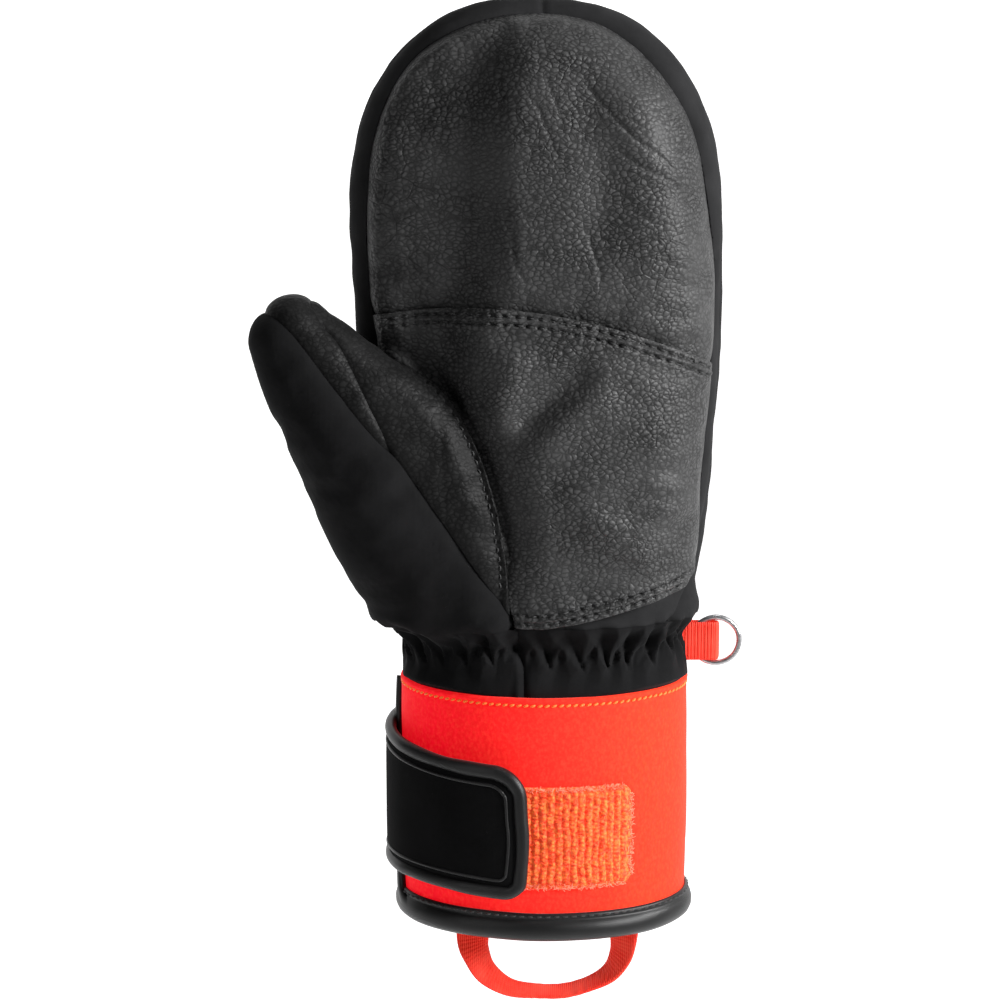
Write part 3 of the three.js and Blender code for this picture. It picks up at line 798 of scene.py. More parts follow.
# height, width and course of the palm's soft folds
FOLD_SCALE = 1.7
PALM_FOLDS = [
    (1.3, 6.0, [(-9.0, 178.0), (-10.5, 169.0), (-13.0, 160.0), (-17.5, 150.0)]),
    (-1.7, 4.6, [(15.0, 171.5), (0.4, 160.0), (-12.2, 147.6)]),
    (-1.8, 8.0, [(-24.4, 183.0), (-30.5, 166.0), (-27.0, 152.0)]),
    (0.9, 6.0, [(20.0, 166.0), (5.0, 154.0), (-6.0, 141.0)]),
    (1.0, 9.0, [(30.5, 160.2), (33.5, 139.5), (32.2, 118.6)]),
    (0.8, 7.0, [(4.4, 139.5), (16.1, 124.6), (30.8, 108.1)]),
    (-0.5, 6.0, [(27.8, 112.6), (16.1, 105.1), (4.4, 100.6)]),
    (1.2, 11.0, [(15.6, 252.7), (27.1, 232.8), (31.6, 209.8), (27.4, 189.5)]),
    (-0.7, 7.0, [(4.3, 258.4), (12.8, 238.5), (15.8, 218.4), (11.5, 192.4)]),
    (0.8, 7.0, [(-39.9, 241.3), (-43.0, 218.4), (-42.3, 195.3)]),
]
# depth, width and course of the leather's sharp creases
PALM_CREASES = [
    (0.55, 0.55, [(8.5, 252.7), (15.7, 241.9), (22.0, 235.6), (29.5, 228.2), (38.7, 221.3)]),
    (0.6, 0.55, [(14.6, 232.8), (20.9, 229.1), (30.1, 223.0), (38.7, 219.6), (45.9, 215.0)]),
    (0.4, 0.5, [(-1.4, 252.7), (2.0, 244.2), (4.3, 235.6)]),
    (0.45, 0.5, [(10.6, 212.1), (12.1, 204.0), (14.7, 195.3), (15.9, 189.5)]),
    (0.45, 0.6, [(-12.9, 218.4), (-10.6, 209.2), (-9.5, 200.5), (-4.3, 192.4)]),
    (0.4, 0.5, [(-24.3, 235.6), (-22.6, 224.2), (-21.5, 214.1), (-18.7, 206.9)]),
    (0.4, 0.5, [(-41.7, 199.7), (-34.6, 193.9), (-30.3, 189.5)]),
    (0.35, 0.5, [(-7.1, 247.0), (-1.4, 238.5), (3.1, 229.9), (4.3, 222.8)]),
    (0.3, 0.5, [(-15.6, 261.2), (-12.8, 249.9), (-13.4, 238.5)]),
    (0.35, 0.5, [(18.6, 218.4), (25.0, 212.7), (31.6, 209.2)]),
    (0.3, 0.5, [(27.3, 204.0), (33.1, 198.8), (41.8, 195.3)]),
]


def knuckle_seam_z(x):
    return 186.4 - 0.0039 * (x + 20) ** 2


def hem_z(x):
    return np.maximum(92.9 + 0.167 * x + 0.0018 * x**2, HAND_BASE + 0.6)


CROSS_SEAM = np.array([(x, knuckle_seam_z(x)) for x in np.linspace(-75, 70, 160)])
LEATHER_HEM = np.array([(x, hem_z(np.array(x))) for x in np.linspace(-40, 60, 120)])


def line_side(points, line, closed=False, chunk=20000):
    """Signed distance from points (x, z) to a line, and how far along it the nearest place is."""
    a = line
    b = np.roll(line, -1, 0) if closed else line[1:]
    a = a if closed else a[:-1]
    ab = b - a
    length = np.linalg.norm(ab, axis=1)
    start = np.concatenate([[0], np.cumsum(length)[:-1]])
    distance, along = np.empty(len(points)), np.empty(len(points))
    for first in range(0, len(points), chunk):
        p = points[first:first + chunk]
        ap = p[:, None] - a[None]
        t = np.clip((ap * ab).sum(-1) / (length**2), 0, 1)
        gap = ap - t[..., None] * ab
        d = np.hypot(gap[..., 0], gap[..., 1])
        k = d.argmin(1)
        rows = np.arange(len(p))
        sign = np.sign(ab[k, 0] * ap[rows, k, 1] - ab[k, 1] * ap[rows, k, 0])
        distance[first:first + chunk] = d[rows, k] * np.where(sign == 0, 1, sign)
        along[first:first + chunk] = start[k] + t[rows, k] * length[k]
    return distance, along


class Seams:
    """How far each point is from each seam, with the sign telling its side."""

    def __init__(self, field, points):
        flat = points[:, [0, 2]]
        self.cx, self.a, self.cy, self.b = sections_at(points[:, 2])
        depth = points[:, 1] - self.cy
        self.thumb = field.read(field.thumb, points) - field.read(field.hand, points)
        self.palm = np.maximum(outside_of(flat, PALM_EDGE), depth + 3)
        self.back = np.maximum(outside_of(flat, BACK_EDGE), 2 - depth)
        self.cross, self.cross_along = line_side(flat, CROSS_SEAM)
        self.hem, self.hem_along = line_side(flat, LEATHER_HEM)
        self.panel, _ = line_side(flat, THUMB_PANEL_EDGE)
        self.strip, _ = line_side(flat, THUMB_STRIP_EDGE)
        self.knuckle = points[:, 2] - KNUCKLE
        self.wrist = points[:, 2] - HAND_BASE
        self.front = depth

    NAMES = [
        "thumb", "palm", "back", "cross", "hem", "panel", "strip", "knuckle", "wrist", "front",
        "cross_along", "hem_along", "cx", "a", "cy", "b",
    ]

    def columns(self):
        return np.stack([getattr(self, n) for n in self.NAMES], 1)


def outside_of(flat, line):
    """How far points (x, z) are outside a closed line, negative inside it."""
    distance, _ = line_side(flat, line, True)
    x, z = line[:, 0], line[:, 1]
    turns_left = np.sum(x * np.roll(z, -1) - np.roll(x, -1) * z) > 0
    return -distance if turns_left else distance


def cut(data, faces, values):
    """Splits triangles along the zero level of values, a column's numbers at each vertex."""
    values = np.where(np.abs(values) < 0.02, 0.02, values)
    side = values[faces] > 0
    count = side.sum(1)
    mixed = (count > 0) & (count < 3)
    keep = faces[~mixed]
    f, s = faces[mixed], side[mixed]
    odd = np.where((s.sum(1) == 1)[:, None], s, ~s).argmax(1)
    rows = np.arange(len(f))
    a, b, c = f[rows, odd], f[rows, (odd + 1) % 3], f[rows, (odd + 2) % 3]
    n = len(data)
    edges = np.concatenate([np.minimum(a, end) * n + np.maximum(a, end) for end in (b, c)])
    unique, where = np.unique(edges, return_inverse=True)
    i, j = unique // n, unique % n
    t = (values[i] / (values[i] - values[j]))[:, None]
    made = data[i] * (1 - t) + data[j] * t
    p, q = where[:len(f)] + n, where[len(f):] + n
    new = np.vstack([np.stack([a, p, q], 1), np.stack([p, b, c], 1), np.stack([p, c, q], 1)])
    return np.vstack([data, made]), np.vstack([keep, new])


PANELS = [
    "wrist_palm", "wrist_back", "thumb_shell", "thumb_strip", "thumb_palm",
    "palm_lower", "palm_upper", "back_lower", "back_upper", "band",
]
LEATHER_SET = {"thumb_strip", "thumb_palm", "palm_lower", "palm_upper"}


def panel_of(c):
    """The panel that each triangle is on, from the seam distances at its middle."""
    below = c["wrist"] < 0
    on_thumb = c["thumb"] < 0
    shell = c["panel"] < 0
    leather = (c["palm"] < 0) & (c["hem"] > 0)
    rules = [
        (below & (c["front"] < 0), "wrist_palm"),
        (below, "wrist_back"),
        (on_thumb & shell, "thumb_shell"),
        (on_thumb & (c["strip"] < 0), "thumb_strip"),
        (on_thumb, "thumb_palm"),
        (leather & (c["cross"] < 0), "palm_lower"),
        (leather, "palm_upper"),
        ((c["back"] < 0) & (c["knuckle"] < 0), "back_lower"),
        (c["back"] < 0, "back_upper"),
    ]
    return np.select([r for r, _ in rules], [PANELS.index(n) for _, n in rules], PANELS.index("band"))


def groove(d, depth, width):
    """A sharp valley along a seam."""
    return -depth * np.exp(-np.abs(d) / width)


def holes(d, along, row, pitch, depth=0.55, size=0.55):
    """Dimples that a row of stitches pulls in."""
    beat = 0.5 + 0.5 * np.cos(TAU * along / pitch)
    return -depth * beat**2 * bell(d - row, size)


STITCH = 3.4
# how far rows of stitches lie from their seams
ROWS = (1.65, 3.95)
KNUCKLE_ROW = 1.8
THUMB_ROW = 2.6


def seam_rows(d, along):
    """A lapped edge at d = 0 with its two rows of stitches at ROWS."""
    lap = 0.85 * fade(d, -0.3, 0.25) * (1 - fade(d, 4.6, 8.5))
    h = lap + 0.35 * bell(d - sum(ROWS) / 2, 0.6)
    for row in ROWS:
        h -= 0.4 * bell(d - row, 0.55)
        h += holes(d, along, row, STITCH, 0.75, 0.62)
    pulled_down_beside = 0.45 * bell(d - 6.0, 1.5)
    return h - pulled_down_beside


def relief(name, c, points):
    """How far a panel's skin stands off the body, in millimetres."""
    on_thumb = name.startswith("thumb")
    h = np.zeros(len(points))
    if name.startswith("palm"):
        h += groove(c["palm"], 1.7, 2.0) + groove(c["thumb"], 1.3, 1.4)
        h += 0.9 * fade(-c["palm"], 0, 5) + 0.9 * fade(-c["palm"], 2, 20)
    if name == "palm_lower":
        rows = seam_rows(-c["cross"], c["cross_along"]) + seam_rows(c["hem"], c["hem_along"])
        h += rows * fade(-c["palm"], 1.2, 4.2)
    if name == "palm_upper":
        h += groove(c["cross"], 1.0, 2.2)
    if name not in LEATHER_SET and not on_thumb:
        h += groove(c["back"], 1.1, 1.6)
    if name == "band":
        h += groove(c["palm"], 1.5, 1.5) + groove(c["thumb"], 1.3, 1.6)
        h += 0.5 * bell(c["palm"] - 5, 3)
        # the short join over the tips
        h += groove(points[:, 0] + 1.2, 0.8, 0.8) * fade(points[:, 2], 255, 262)
    if name in ("band", "wrist_palm"):
        under_hem = (c["palm"] < 0) & (c["hem"] < 0)
        h += np.where(under_hem, groove(c["hem"], 0.9, 2.0), 0)
    if name.startswith("back"):
        h += groove(c["knuckle"], 0.9, 1.3) + groove(c["thumb"], 1.3, 1.6) + fade(-c["back"], 0, 16)
        h += holes(np.abs(c["knuckle"]), points[:, 0], KNUCKLE_ROW, STITCH, 0.4)
    if on_thumb:
        over_palm = fade(palm_side(points) - points[:, 1], 0, 8)
        over_palm = over_palm * fade(172 - points[:, 2], 0, 14) * fade(points[:, 2], 92, 104)
        h += groove(c["thumb"], 1.5, 1.1) * (1 - over_palm) + 3.4 * np.exp(c["thumb"] / 5.5) * over_palm
        h -= 1.2 * np.exp(c["thumb"] / 0.45) * over_palm
        if name == "thumb_shell":
            h += groove(c["panel"], 1.3, 1.7) + 0.8 * fade(-c["panel"], 0, 12)
        else:
            h += groove(c["panel"], 0.9, 1.1)
            h += groove(c["strip"], 0.9, 1.1) * (c["panel"] > -2)
        if name == "thumb_palm":
            roll = -c["thumb"]
            h += 0.5 * bell(roll - 1.3, 0.9) * (points[:, 1] < palm_side(points))
            h += holes(roll, points[:, 2] * 1.12, THUMB_ROW, STITCH, 0.6, 0.6)
    if name == "wrist_palm":
        h += groove(c["panel"], 1.2, 0.9) + 0.7 * bell(c["panel"] + 1.8, 1.2)
    h += gathers(points, c)
    return h


def palm_side(points):
    """The y at each point's height where the palm's side begins."""
    return sections_at(points[:, 2])[2] - 6


GATHER_Z = 83.6


def gathers(points, c):
    """The elastic's folds round the wrist: notches that open upwards, and smaller ones below."""
    z = points[:, 2]
    cx, a, cy, b = c["cx"], c["a"], c["cy"], c["b"]
    angle = np.arctan2((points[:, 1] - cy) / b, (points[:, 0] - cx) / a)
    around = angle * 37 + 6.5 * (noise3(points, 13, 3) - 0.5)
    level = z - GATHER_Z + 3.0 * (noise3(points, 12, 5) - 0.5)
    size = 0.3 + 1.2 * noise3(points * [1, 1, 0.3], 9, 11)

    def notches(pitch, lean, offset, opens, low, high):
        beat = (around + lean * level) / pitch + offset
        gap = np.abs(beat - np.round(beat)) * pitch
        width = np.clip((level * opens - low) / (high - low), 0.02, 1) * pitch * 0.52
        inside = np.clip(1 - gap / width, 0, 1)
        depth = inside * fade(level * opens, low, low + 3.5)
        return depth * (1 - fade(level * opens, high - 3, high + 6))

    deep = notches(7.3, 0.35, 0.0, 1, -5.5, 6)
    cross = notches(9.1, -0.5, 0.3, 1, -4, 5)
    below = notches(7.3, -0.2, 0.5, -1, -3, 6)
    live = 1 - fade(z, GATHER_Z + 12, GATHER_Z + 20)
    upright = np.abs(np.sin(angle)) ** 0.5
    pinch = -1.2 * bell(level, 3.0) + 1.9 * bell(level - 8.5, 4.5)
    flare = (0.9 * fade(-level, 3, 9) + 1.5 * (1 - fade(z, CUFF_TOP + 0.5, CUFF_TOP + 7))) * upright
    folds = -size * (2.2 * deep + 1.4 * cross + 1.2 * below)
    fine = -0.35 * bell(level, 2.0) * (0.5 + 0.5 * np.sin(around * TAU / 1.9))
    return live * (pinch + flare + folds + fine)


def creases(points, seed, size, depth, stretch=(1, 1, 1)):
    """Soft creases, as the valleys where noise passes its middle."""
    p = points * np.array(stretch)
    n = noise3(p, size, seed) * 0.7 + noise3(p, size / 2.1, seed + 1) * 0.3
    return -depth * bell(n - 0.5, 0.035)


def along_line(flat, line, width):
    """1 on a line, fading beside it and past its ends."""
    course = smooth_path(line, 24)
    d, at = line_side(flat, course)
    total = run_along(course)[-1]
    return bell(d, width) * fade(at, 0, 0.25 * total) * fade(total - at, 0, 0.25 * total)


def palm_shape(points, c):
    """The hollow, folds and creases that use has set in the palm's leather."""
    flat = points[:, [0, 2]]
    wobble = flat + 2.2 * np.stack([noise3(points, 7, 31) - 0.5, noise3(points, 7, 32) - 0.5], 1)
    d, _ = line_side(flat, smooth_path(PALM_STEP, 60))
    inside = fade(-c["palm"], 0, 15) * fade(c["thumb"], 0, 4) * fade(c["hem"], 4, 34)
    h = STEP_HEIGHT * (fade(d, -9, 10) - 0.6) * inside
    for height, width, line in PALM_FOLDS:
        h += FOLD_SCALE * height * along_line(flat, line, width) * fade(-c["palm"], 0, 6)
    for depth, width, line in PALM_CREASES:
        h -= depth * along_line(wobble, line, width) * fade(-c["palm"], 0, 3)
    return h


FAR = 99
# the cloth is worked out larger than life, in units that its solver keeps steady in
CLOTH_UNIT = 0.01
CLOTH_STEPS = 20
MOST_LIFT = 3.2


class Cloth:
    """The shell as cloth held at its seams and filled by the wadding: how far it moves off the body."""

    def __init__(self):
        self.tree = None
        points, quads = surface_nets(field.both[::3, ::3, ::3], LOW, STEP * 3)
        points = field.settle(points)
        seams = vars(Seams(field, points))
        front, on_thumb = seams["front"] < 0, seams["thumb"] < 0
        gaps = [
            np.abs(seams["thumb"]),
            np.where(on_thumb, FAR, np.abs(seams["palm"])),
            np.where(on_thumb, FAR, np.abs(seams["back"])),
            np.where(on_thumb, np.abs(seams["panel"]), FAR),
            np.where(front & ~on_thumb, np.abs(seams["cross"]), FAR),
            np.where(~front, np.abs(seams["knuckle"]), FAR),
            np.abs(points[:, 2] - GATHER_Z) + 1,
        ]
        held = np.min(gaps, axis=0) < 2.4
        held |= points[:, 2] < CUFF_TOP + 2
        up = normals_of(points, quads)
        start = points + up * (0.5 * (noise3(points, 9, 121) - 0.5))[:, None]
        mesh = bpy.data.meshes.new("cloth")
        mesh.from_pydata([tuple(p) for p in start * CLOTH_UNIT], [], [tuple(q) for q in quads])
        cloth = add_object("cloth", mesh)
        group = cloth.vertex_groups.new(name="held")
        group.add([int(k) for k in np.flatnonzero(held)], 1.0, "REPLACE")
        sim = cloth.modifiers.new("cloth", "CLOTH")
        settings = {
            "vertex_group_mass": "held", "quality": 6, "tension_stiffness": 12, "compression_stiffness": 12,
            "shear_stiffness": 6, "bending_stiffness": 0.4, "use_pressure": True,
            "uniform_pressure_force": 4, "shrink_min": -0.06, "shrink_max": -0.06,
        }
        for key, value in settings.items():
            setattr(sim.settings, key, value)
        sim.settings.effector_weights.gravity = 0
        sim.collision_settings.use_self_collision = False
        sim.point_cache.frame_start, sim.point_cache.frame_end = 1, CLOTH_STEPS
        scene = bpy.context.scene
        for number in range(1, CLOTH_STEPS + 1):
            scene.frame_set(number)
        done = cloth.evaluated_get(bpy.context.evaluated_depsgraph_get()).to_mesh()
        moved = np.empty(len(points) * 3)
        done.vertices.foreach_get("co", moved)
        lift = ((moved.reshape(-1, 3) / CLOTH_UNIT - points) * up).sum(1)
        self.lift = MOST_LIFT * np.tanh(lift / MOST_LIFT)
        bpy.data.objects.remove(cloth)
        bpy.data.meshes.remove(mesh)
        scene.frame_set(1)
        self.tree = kdtree.KDTree(len(points))
        for k, p in enumerate(points):
            self.tree.insert(p, k)
        self.tree.balance()

    def read(self, points):
        """The lift at points, from the nearest places of the net."""
        out = np.zeros(len(points))
        if self.tree is None:
            return out
        for k, p in enumerate(points):
            total = weight = 0.0
            for _, near, gap in self.tree.find_n(p, 5):
                w = math.exp(-((gap / 3.2) ** 2)) + 1e-6
                total += w * self.lift[near]
                weight += w
            out[k] = total / weight
        return out


def panel_height(name, c, p):
    """How far a panel's finished skin stands off the body, with its creases and softness."""
    puff = 0.3 if name == "band" else 0.55 if name.startswith("thumb") else 0.8
    h = relief(name, c, p)
    if name.startswith("wrist"):
        # the gathered cloth runs down inside the sleeve
        room = 36 * (1 - np.hypot(p[:, 0] / 41.9, p[:, 1] / 31.7))
        h = np.minimum(h, room + 1.3 * np.maximum(p[:, 2] - CUFF_TOP, 0) + 0.05)
    h += puff * cloth.read(p) * fade(p[:, 2], GATHER_Z + 2, GATHER_Z + 16)
    if name.startswith("palm"):
        h += palm_shape(p, c)
    if name in LEATHER_SET:
        h += creases(p, 21, 30, 0.22, (1, 1, 0.7)) * fade(np.abs(c["palm"]), 2, 8)
        return h + 0.8 * (noise3(p, 26, 41) - 0.5)
    return h + 0.9 * (noise3(p, 24, 51) - 0.5)


# ---------------------------------------------------------------- panels


def closed_sheet(outer, inner, faces):
    """A sheet's outer skin, its inner skin and the rim between them."""
    n = len(outer)
    edges = np.concatenate([faces[:, [0, 1]], faces[:, [1, 2]], faces[:, [2, 0]]])
    key = np.minimum(edges[:, 0], edges[:, 1]) * n + np.maximum(edges[:, 0], edges[:, 1])
    _, first, count = np.unique(key, return_index=True, return_counts=True)
    rim = edges[first[count == 1]]
    walls = np.stack([rim[:, 1], rim[:, 0], rim[:, 0] + n, rim[:, 1] + n], 1)
    tris = np.vstack([faces, faces[:, ::-1] + n])
    return np.vstack([outer, inner]), tris, walls


def fast_piece(name, points, tris, quads, material, slot, normals):
    """A new object from arrays of triangles and quads, with its vertices' normals."""
    mesh = bpy.data.meshes.new(name)
    mesh.vertices.add(len(points))
    mesh.vertices.foreach_set("co", (points * MM).astype(np.float32).ravel())
    loops = np.concatenate([tris.ravel(), quads.ravel()]).astype(np.int32)
    mesh.loops.add(len(loops))
    mesh.loops.foreach_set("vertex_index", loops)
    starts = np.concatenate([np.arange(len(tris)) * 3, len(tris) * 3 + np.arange(len(quads)) * 4])
    mesh.polygons.add(len(starts))
    mesh.polygons.foreach_set("loop_start", starts.astype(np.int32))
    mesh.polygons.foreach_set("use_smooth", np.ones(len(starts), bool))
    mesh.update(calc_edges=True)
    mesh.validate()
    mesh.materials.append(material)
    mesh.normals_split_custom_set_from_vertices(normals.astype(np.float32))
    made = add_object(name, mesh)
    return made


field = Field()
cloth = Cloth()


def body_mesh():
    points, quads = surface_nets(field.both, LOW, STEP)
    points = field.settle(points)
    fine, small = split_quads(points, quads)
    low_edge = fine[:, 2] < LOW[2] + 0.6 * STEP
    fine = field.settle(fine, keep_z=low_edge)
    return fine, np.vstack([small[:, [0, 1, 2]], small[:, [0, 2, 3]]])


# panels of one cloth, shaded across the joins between them
SOFT_GROUP = ("wrist_palm", "wrist_back", "thumb_shell", "band", "back_lower")
PANEL_NODES = {
    "wrist_palm": ["wrist_gather_palm"],
    "wrist_back": ["wrist_gather_back"],
    "thumb_shell": ["thumb_shell_panel", "wadding_thumb"],
    "thumb_strip": ["thumb_leather_strip"],
    "thumb_palm": ["thumb_leather_palm"],
    "palm_lower": ["palm_leather_lower"],
    "palm_upper": ["palm_leather_upper"],
    "back_lower": ["back_panel_lower", "wadding_hand"],
    "back_upper": ["back_panel_upper", "wadding_fingers"],
    "band": ["side_band_little", "side_band_thumb", "side_band_tips"],
}


def bend(made):
    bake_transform(made)


# the body's mesh is cut along every seam, and again along its stitched edges so that they come out crisp
SEAM_CUTS = ("wrist", "thumb", "palm", "back", "cross", "hem", "panel", "strip", "knuckle", "front")
EDGE_CUTS = {
    "cross": (-1.1, -1.65, -2.2, -2.8, -3.4, -3.95, -4.5),
    "hem": (1.1, 1.65, 2.2, 2.8, 3.4, 3.95, 4.5),
    "thumb": (-0.6, -1.3, -2.0, -2.6, -3.2),
    "palm": (-0.6, -1.4, -2.6),
}
SKIN_THICK = 0.9
LEAST_DEPTH = 1.1


def panel_shells():
    """Each panel's vertices, triangles, outer skin and inner skin, and how many vertices there are in all."""
    points, tris = body_mesh()
    names = ["x", "y", "z"] + Seams.NAMES
    data = np.hstack([points, Seams(field, points).columns()])
    for seam in SEAM_CUTS:
        data, tris = cut(data, tris, data[:, names.index(seam)])
    for seam, levels in EDGE_CUTS.items():
        for level in levels:
            data, tris = cut(data, tris, data[:, names.index(seam)] - level)
    label = panel_of({n: data[:, k][tris].mean(1) for k, n in enumerate(names)})
    up = normals_of(data[:, :3], tris)
    shells = {}
    for k, name in enumerate(PANELS):
        used, local = np.unique(tris[label == k], return_inverse=True)
        c = {n: data[used, j] for j, n in enumerate(names)}
        p, u = data[used, :3], up[used]
        h = panel_height(name, c, p)
        under = p + u * np.minimum(h - SKIN_THICK, -LEAST_DEPTH)[:, None]
        shells[name] = (used, local.reshape(-1, 3), p + u * h[:, None], under)
    return shells, len(data)


def panel_material(name):
    if name in LEATHER_SET:
        return THUMB_LEATHER if name.startswith("thumb") else LEATHER
    return BAND_CLOTH if name == "band" else SOFTSHELL


def make_panels():
    shells, count = panel_shells()
    total = np.zeros((count, 3))
    for name in SOFT_GROUP:
        used, local, outer, _ = shells[name]
        total[used] += face_sums(outer, local)
    for name, (used, local, outer, under) in shells.items():
        n = scaled_normals(total[used] if name in SOFT_GROUP else face_sums(outer, local))
        kind = "leather" if name in LEATHER_SET else "softshell"
        sheet = closed_sheet(outer, under, local)
        made = fast_piece(f"{name}_{kind}", *sheet, panel_material(name), kind, np.vstack([n, -n]))
        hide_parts(*PANEL_NODES[name])
        bend(made)


make_panels()

# ---------------------------------------------------------------- stitched threads


def stitches(path, up, pitch, length, thick, lift=0.0, lean=0.0):
    """Short threads sewn along a path that lies on a surface, up being the surface's normals."""
    along = run_along(path)
    ring = oval(1, 0.8, 6)
    t = np.arange(7) / 3 - 1
    parts = []
    for centre in np.arange(pitch / 2, along[-1] - pitch / 3, pitch):
        at = centre + t * length / 2
        p = np.stack([np.interp(at, along, path[:, k]) for k in range(3)], 1)
        n = np.stack([np.interp(at, along, up[:, k]) for k in range(3)], 1)
        side, _ = frames_along(p, n)
        p = p + n * (thick * (0.75 - 1.5 * t**4) + lift)[:, None] + side * (lean * t)[:, None]
        size = thick * np.maximum(1 - t**4, 0.12) ** 0.5
        parts.append(swept(p, n, lambda k: ring * size[k]))
    return join_parts(parts)


def shifted(line, offset):
    """A line of x and z moved to its left."""
    t = unit(np.gradient(line, axis=0))
    return line + np.stack([-t[:, 1], t[:, 0]], 1) * offset


def on_body(flat, front=True):
    """Points of the body's surface above x and z, on the palm or on the back."""
    x, z = flat[:, 0], flat[:, 1]
    outside = np.full(len(x), LOW[1] + 0.5 if front else HIGH[1] - 0.5)
    inside = sections_at(z)[2]
    for _ in range(30):
        middle = (outside + inside) / 2
        value = field.read(field.both, np.stack([x, middle, z], 1))
        outside = np.where(value > 0, middle, outside)
        inside = np.where(value > 0, inside, middle)
    return np.stack([x, (outside + inside) / 2, z], 1)


def skin(name, points):
    """Points of the body moved out to a panel's finished surface, and the normals and seams there."""
    seams = vars(Seams(field, points))
    up = unit(field.slope(field.both, points))
    return points + up * panel_height(name, seams, points)[:, None], up, seams


def runs(keep, least=6):
    """The stretches of an array where keep holds."""
    edges = np.flatnonzero(np.diff(np.concatenate([[0], keep.astype(int), [0]])))
    return [(a, b) for a, b in zip(edges[::2], edges[1::2]) if b - a >= least]


def sew_panel(name, rows, how, test, front=True, pitch=STITCH, thick=0.3, length=2.35):
    """Threads along rows of x and z on a panel, where test(seams) holds."""
    parts = []
    for row in rows:
        dense = smooth_path(row, 360)
        points, up, seams = skin(name, on_body(dense, front))
        for a, b in runs(test(seams)):
            parts.append(stitches(points[a:b], up[a:b], pitch, length, thick, 0.02))
    bend(piece(f"{name}_stitching", *join_parts(parts), BLACK_THREAD, "binding"))


def thumb_row(inset):
    """The row of x and z that runs on the thumb, inset from where it meets the palm."""
    out = []
    xs = np.linspace(-60, 0, 160)
    for z in np.arange(94, 156, 1.0):
        points = on_body(np.stack([xs, np.full(len(xs), z)], 1))
        gap = field.read(field.thumb, points) - field.read(field.hand, points) + inset
        change = np.flatnonzero((gap[:-1] < 0) & (gap[1:] >= 0))
        if len(change):
            k = change[-1]
            t = gap[k] / (gap[k] - gap[k + 1])
            out.append((xs[k] + t * (xs[k + 1] - xs[k]), z))
    return np.array(out)


def on_palm(seams):
    return (seams["palm"] < -3.4) & (seams["thumb"] > 2.0) & (seams["hem"] > 0.8)


def on_back(seams):
    return seams["back"] < -2


def on_thumb_leather(seams):
    return (seams["panel"] > 1.5) & (seams["strip"] > -60)


def sew_panels():
    rows = [shifted(CROSS_SEAM, -row) for row in ROWS] + [shifted(LEATHER_HEM, row) for row in ROWS]
    sew_panel("palm_lower", rows, "fingers", on_palm)
    xs = np.linspace(-70, 70, 100)
    for name, z in (("back_lower", KNUCKLE - KNUCKLE_ROW), ("back_upper", KNUCKLE + KNUCKLE_ROW)):
        sew_panel(name, [np.stack([xs, np.full(100, z)], 1)], "fingers", on_back, False)
    thumb_threads = {"thick": 0.27, "length": 1.9, "pitch": 2.9}
    sew_panel("thumb_palm", [thumb_row(THUMB_ROW)], "thumb", on_thumb_leather, **thumb_threads)


sew_panels()

# ---------------------------------------------------------------- linings and the wrist's elastic


def make_linings():
    """The linings of the wrist, the thumb and the hand lie at one depth under the body's surface."""
    depth, thick = 5.7, 1.0
    grid = field.both[::2, ::2, ::2] + depth
    points, quads = surface_nets(grid, LOW, STEP * 2)
    points = field.settle(points, -depth, 3, points[:, 2] < LOW[2] + 2 * STEP)
    above_wrist = points[:, 2] - HAND_BASE
    off_thumb = field.read(field.thumb, points) - field.read(field.hand, points)
    above_cuff = points[:, 2] - CUFF_TOP
    data = np.column_stack([points, above_wrist, off_thumb, above_cuff])
    tris = np.vstack([quads[:, [0, 1, 2]], quads[:, [0, 2, 3]]])
    for column in (5, 3, 4):
        data, tris = cut(data, tris, data[:, column])
    wrist, thumb, cuff = data[tris].mean(1)[:, 3:].T < 0
    up = normals_of(data[:, :3], tris)
    # what lies inside the cuff has a lining of its own
    label = np.select([cuff, wrist, thumb], [3, 0, 1], 2)
    jobs = [
        ("wrist_lining_tube", ["wrist_lining"], "wrist"),
        ("thumb_lining_bag", ["lining_thumb"], "thumb"),
        ("hand_lining_bag", ["lining_hand", "lining_fingers"], "fingers"),
    ]
    for k, (name, nodes, how) in enumerate(jobs):
        used, local = np.unique(tris[label == k], return_inverse=True)
        p, n = data[used, :3], up[used]
        p = p + n * (0.7 * (noise3(p, 13, 71) - 0.5))[:, None]
        sheet = closed_sheet(p, p - n * thick, local.reshape(-1, 3))
        made = fast_piece(name, *sheet, FLEECE, "fleece", np.vstack([n, -n]))
        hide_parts(*nodes)
        bend(made)


CUFF_A = node_box("cuff_sleeve")[1][0]
CUFF_B = 33.0
MOUTH_Z = node_box("cuff_sleeve")[0][2]
LIP_Z = CUFF_TOP - 2.1
SLEEVE_THICK = 3.0
LINING_THICK = 1.0
FULL_TURN = np.linspace(0, 360, 721)


def hoop(profile, count, wave=None):
    """A profile, a loop of (out, z), carried round the cuff."""
    out, z = np.array(profile).T
    sections = []
    for angle in np.linspace(0, 360, count, endpoint=False):
        extra = wave(np.full(len(out), angle), z) if wave else 0
        sections.append(cuff_point(angle, out + extra, z))
    return sweep(np.array(sections), True)


def cuff_point(degrees, out, z):
    """A point at an angle round the cuff, out from its face and at height z. The palm is at 270."""
    t = np.radians(degrees)
    return np.stack(np.broadcast_arrays((CUFF_A + out) * np.cos(t), (CUFF_B + out) * np.sin(t), z), -1)


def cuff_wave(degrees, z):
    """Soft dents in the neoprene."""
    flat = cuff_point(degrees, 0, z).reshape(-1, 3)
    wave = 1.3 * (noise3(flat, 30, 61) - 0.5) + 0.5 * (noise3(flat, 12, 62) - 0.5)
    return wave.reshape(np.shape(np.asarray(degrees) + np.asarray(z)))


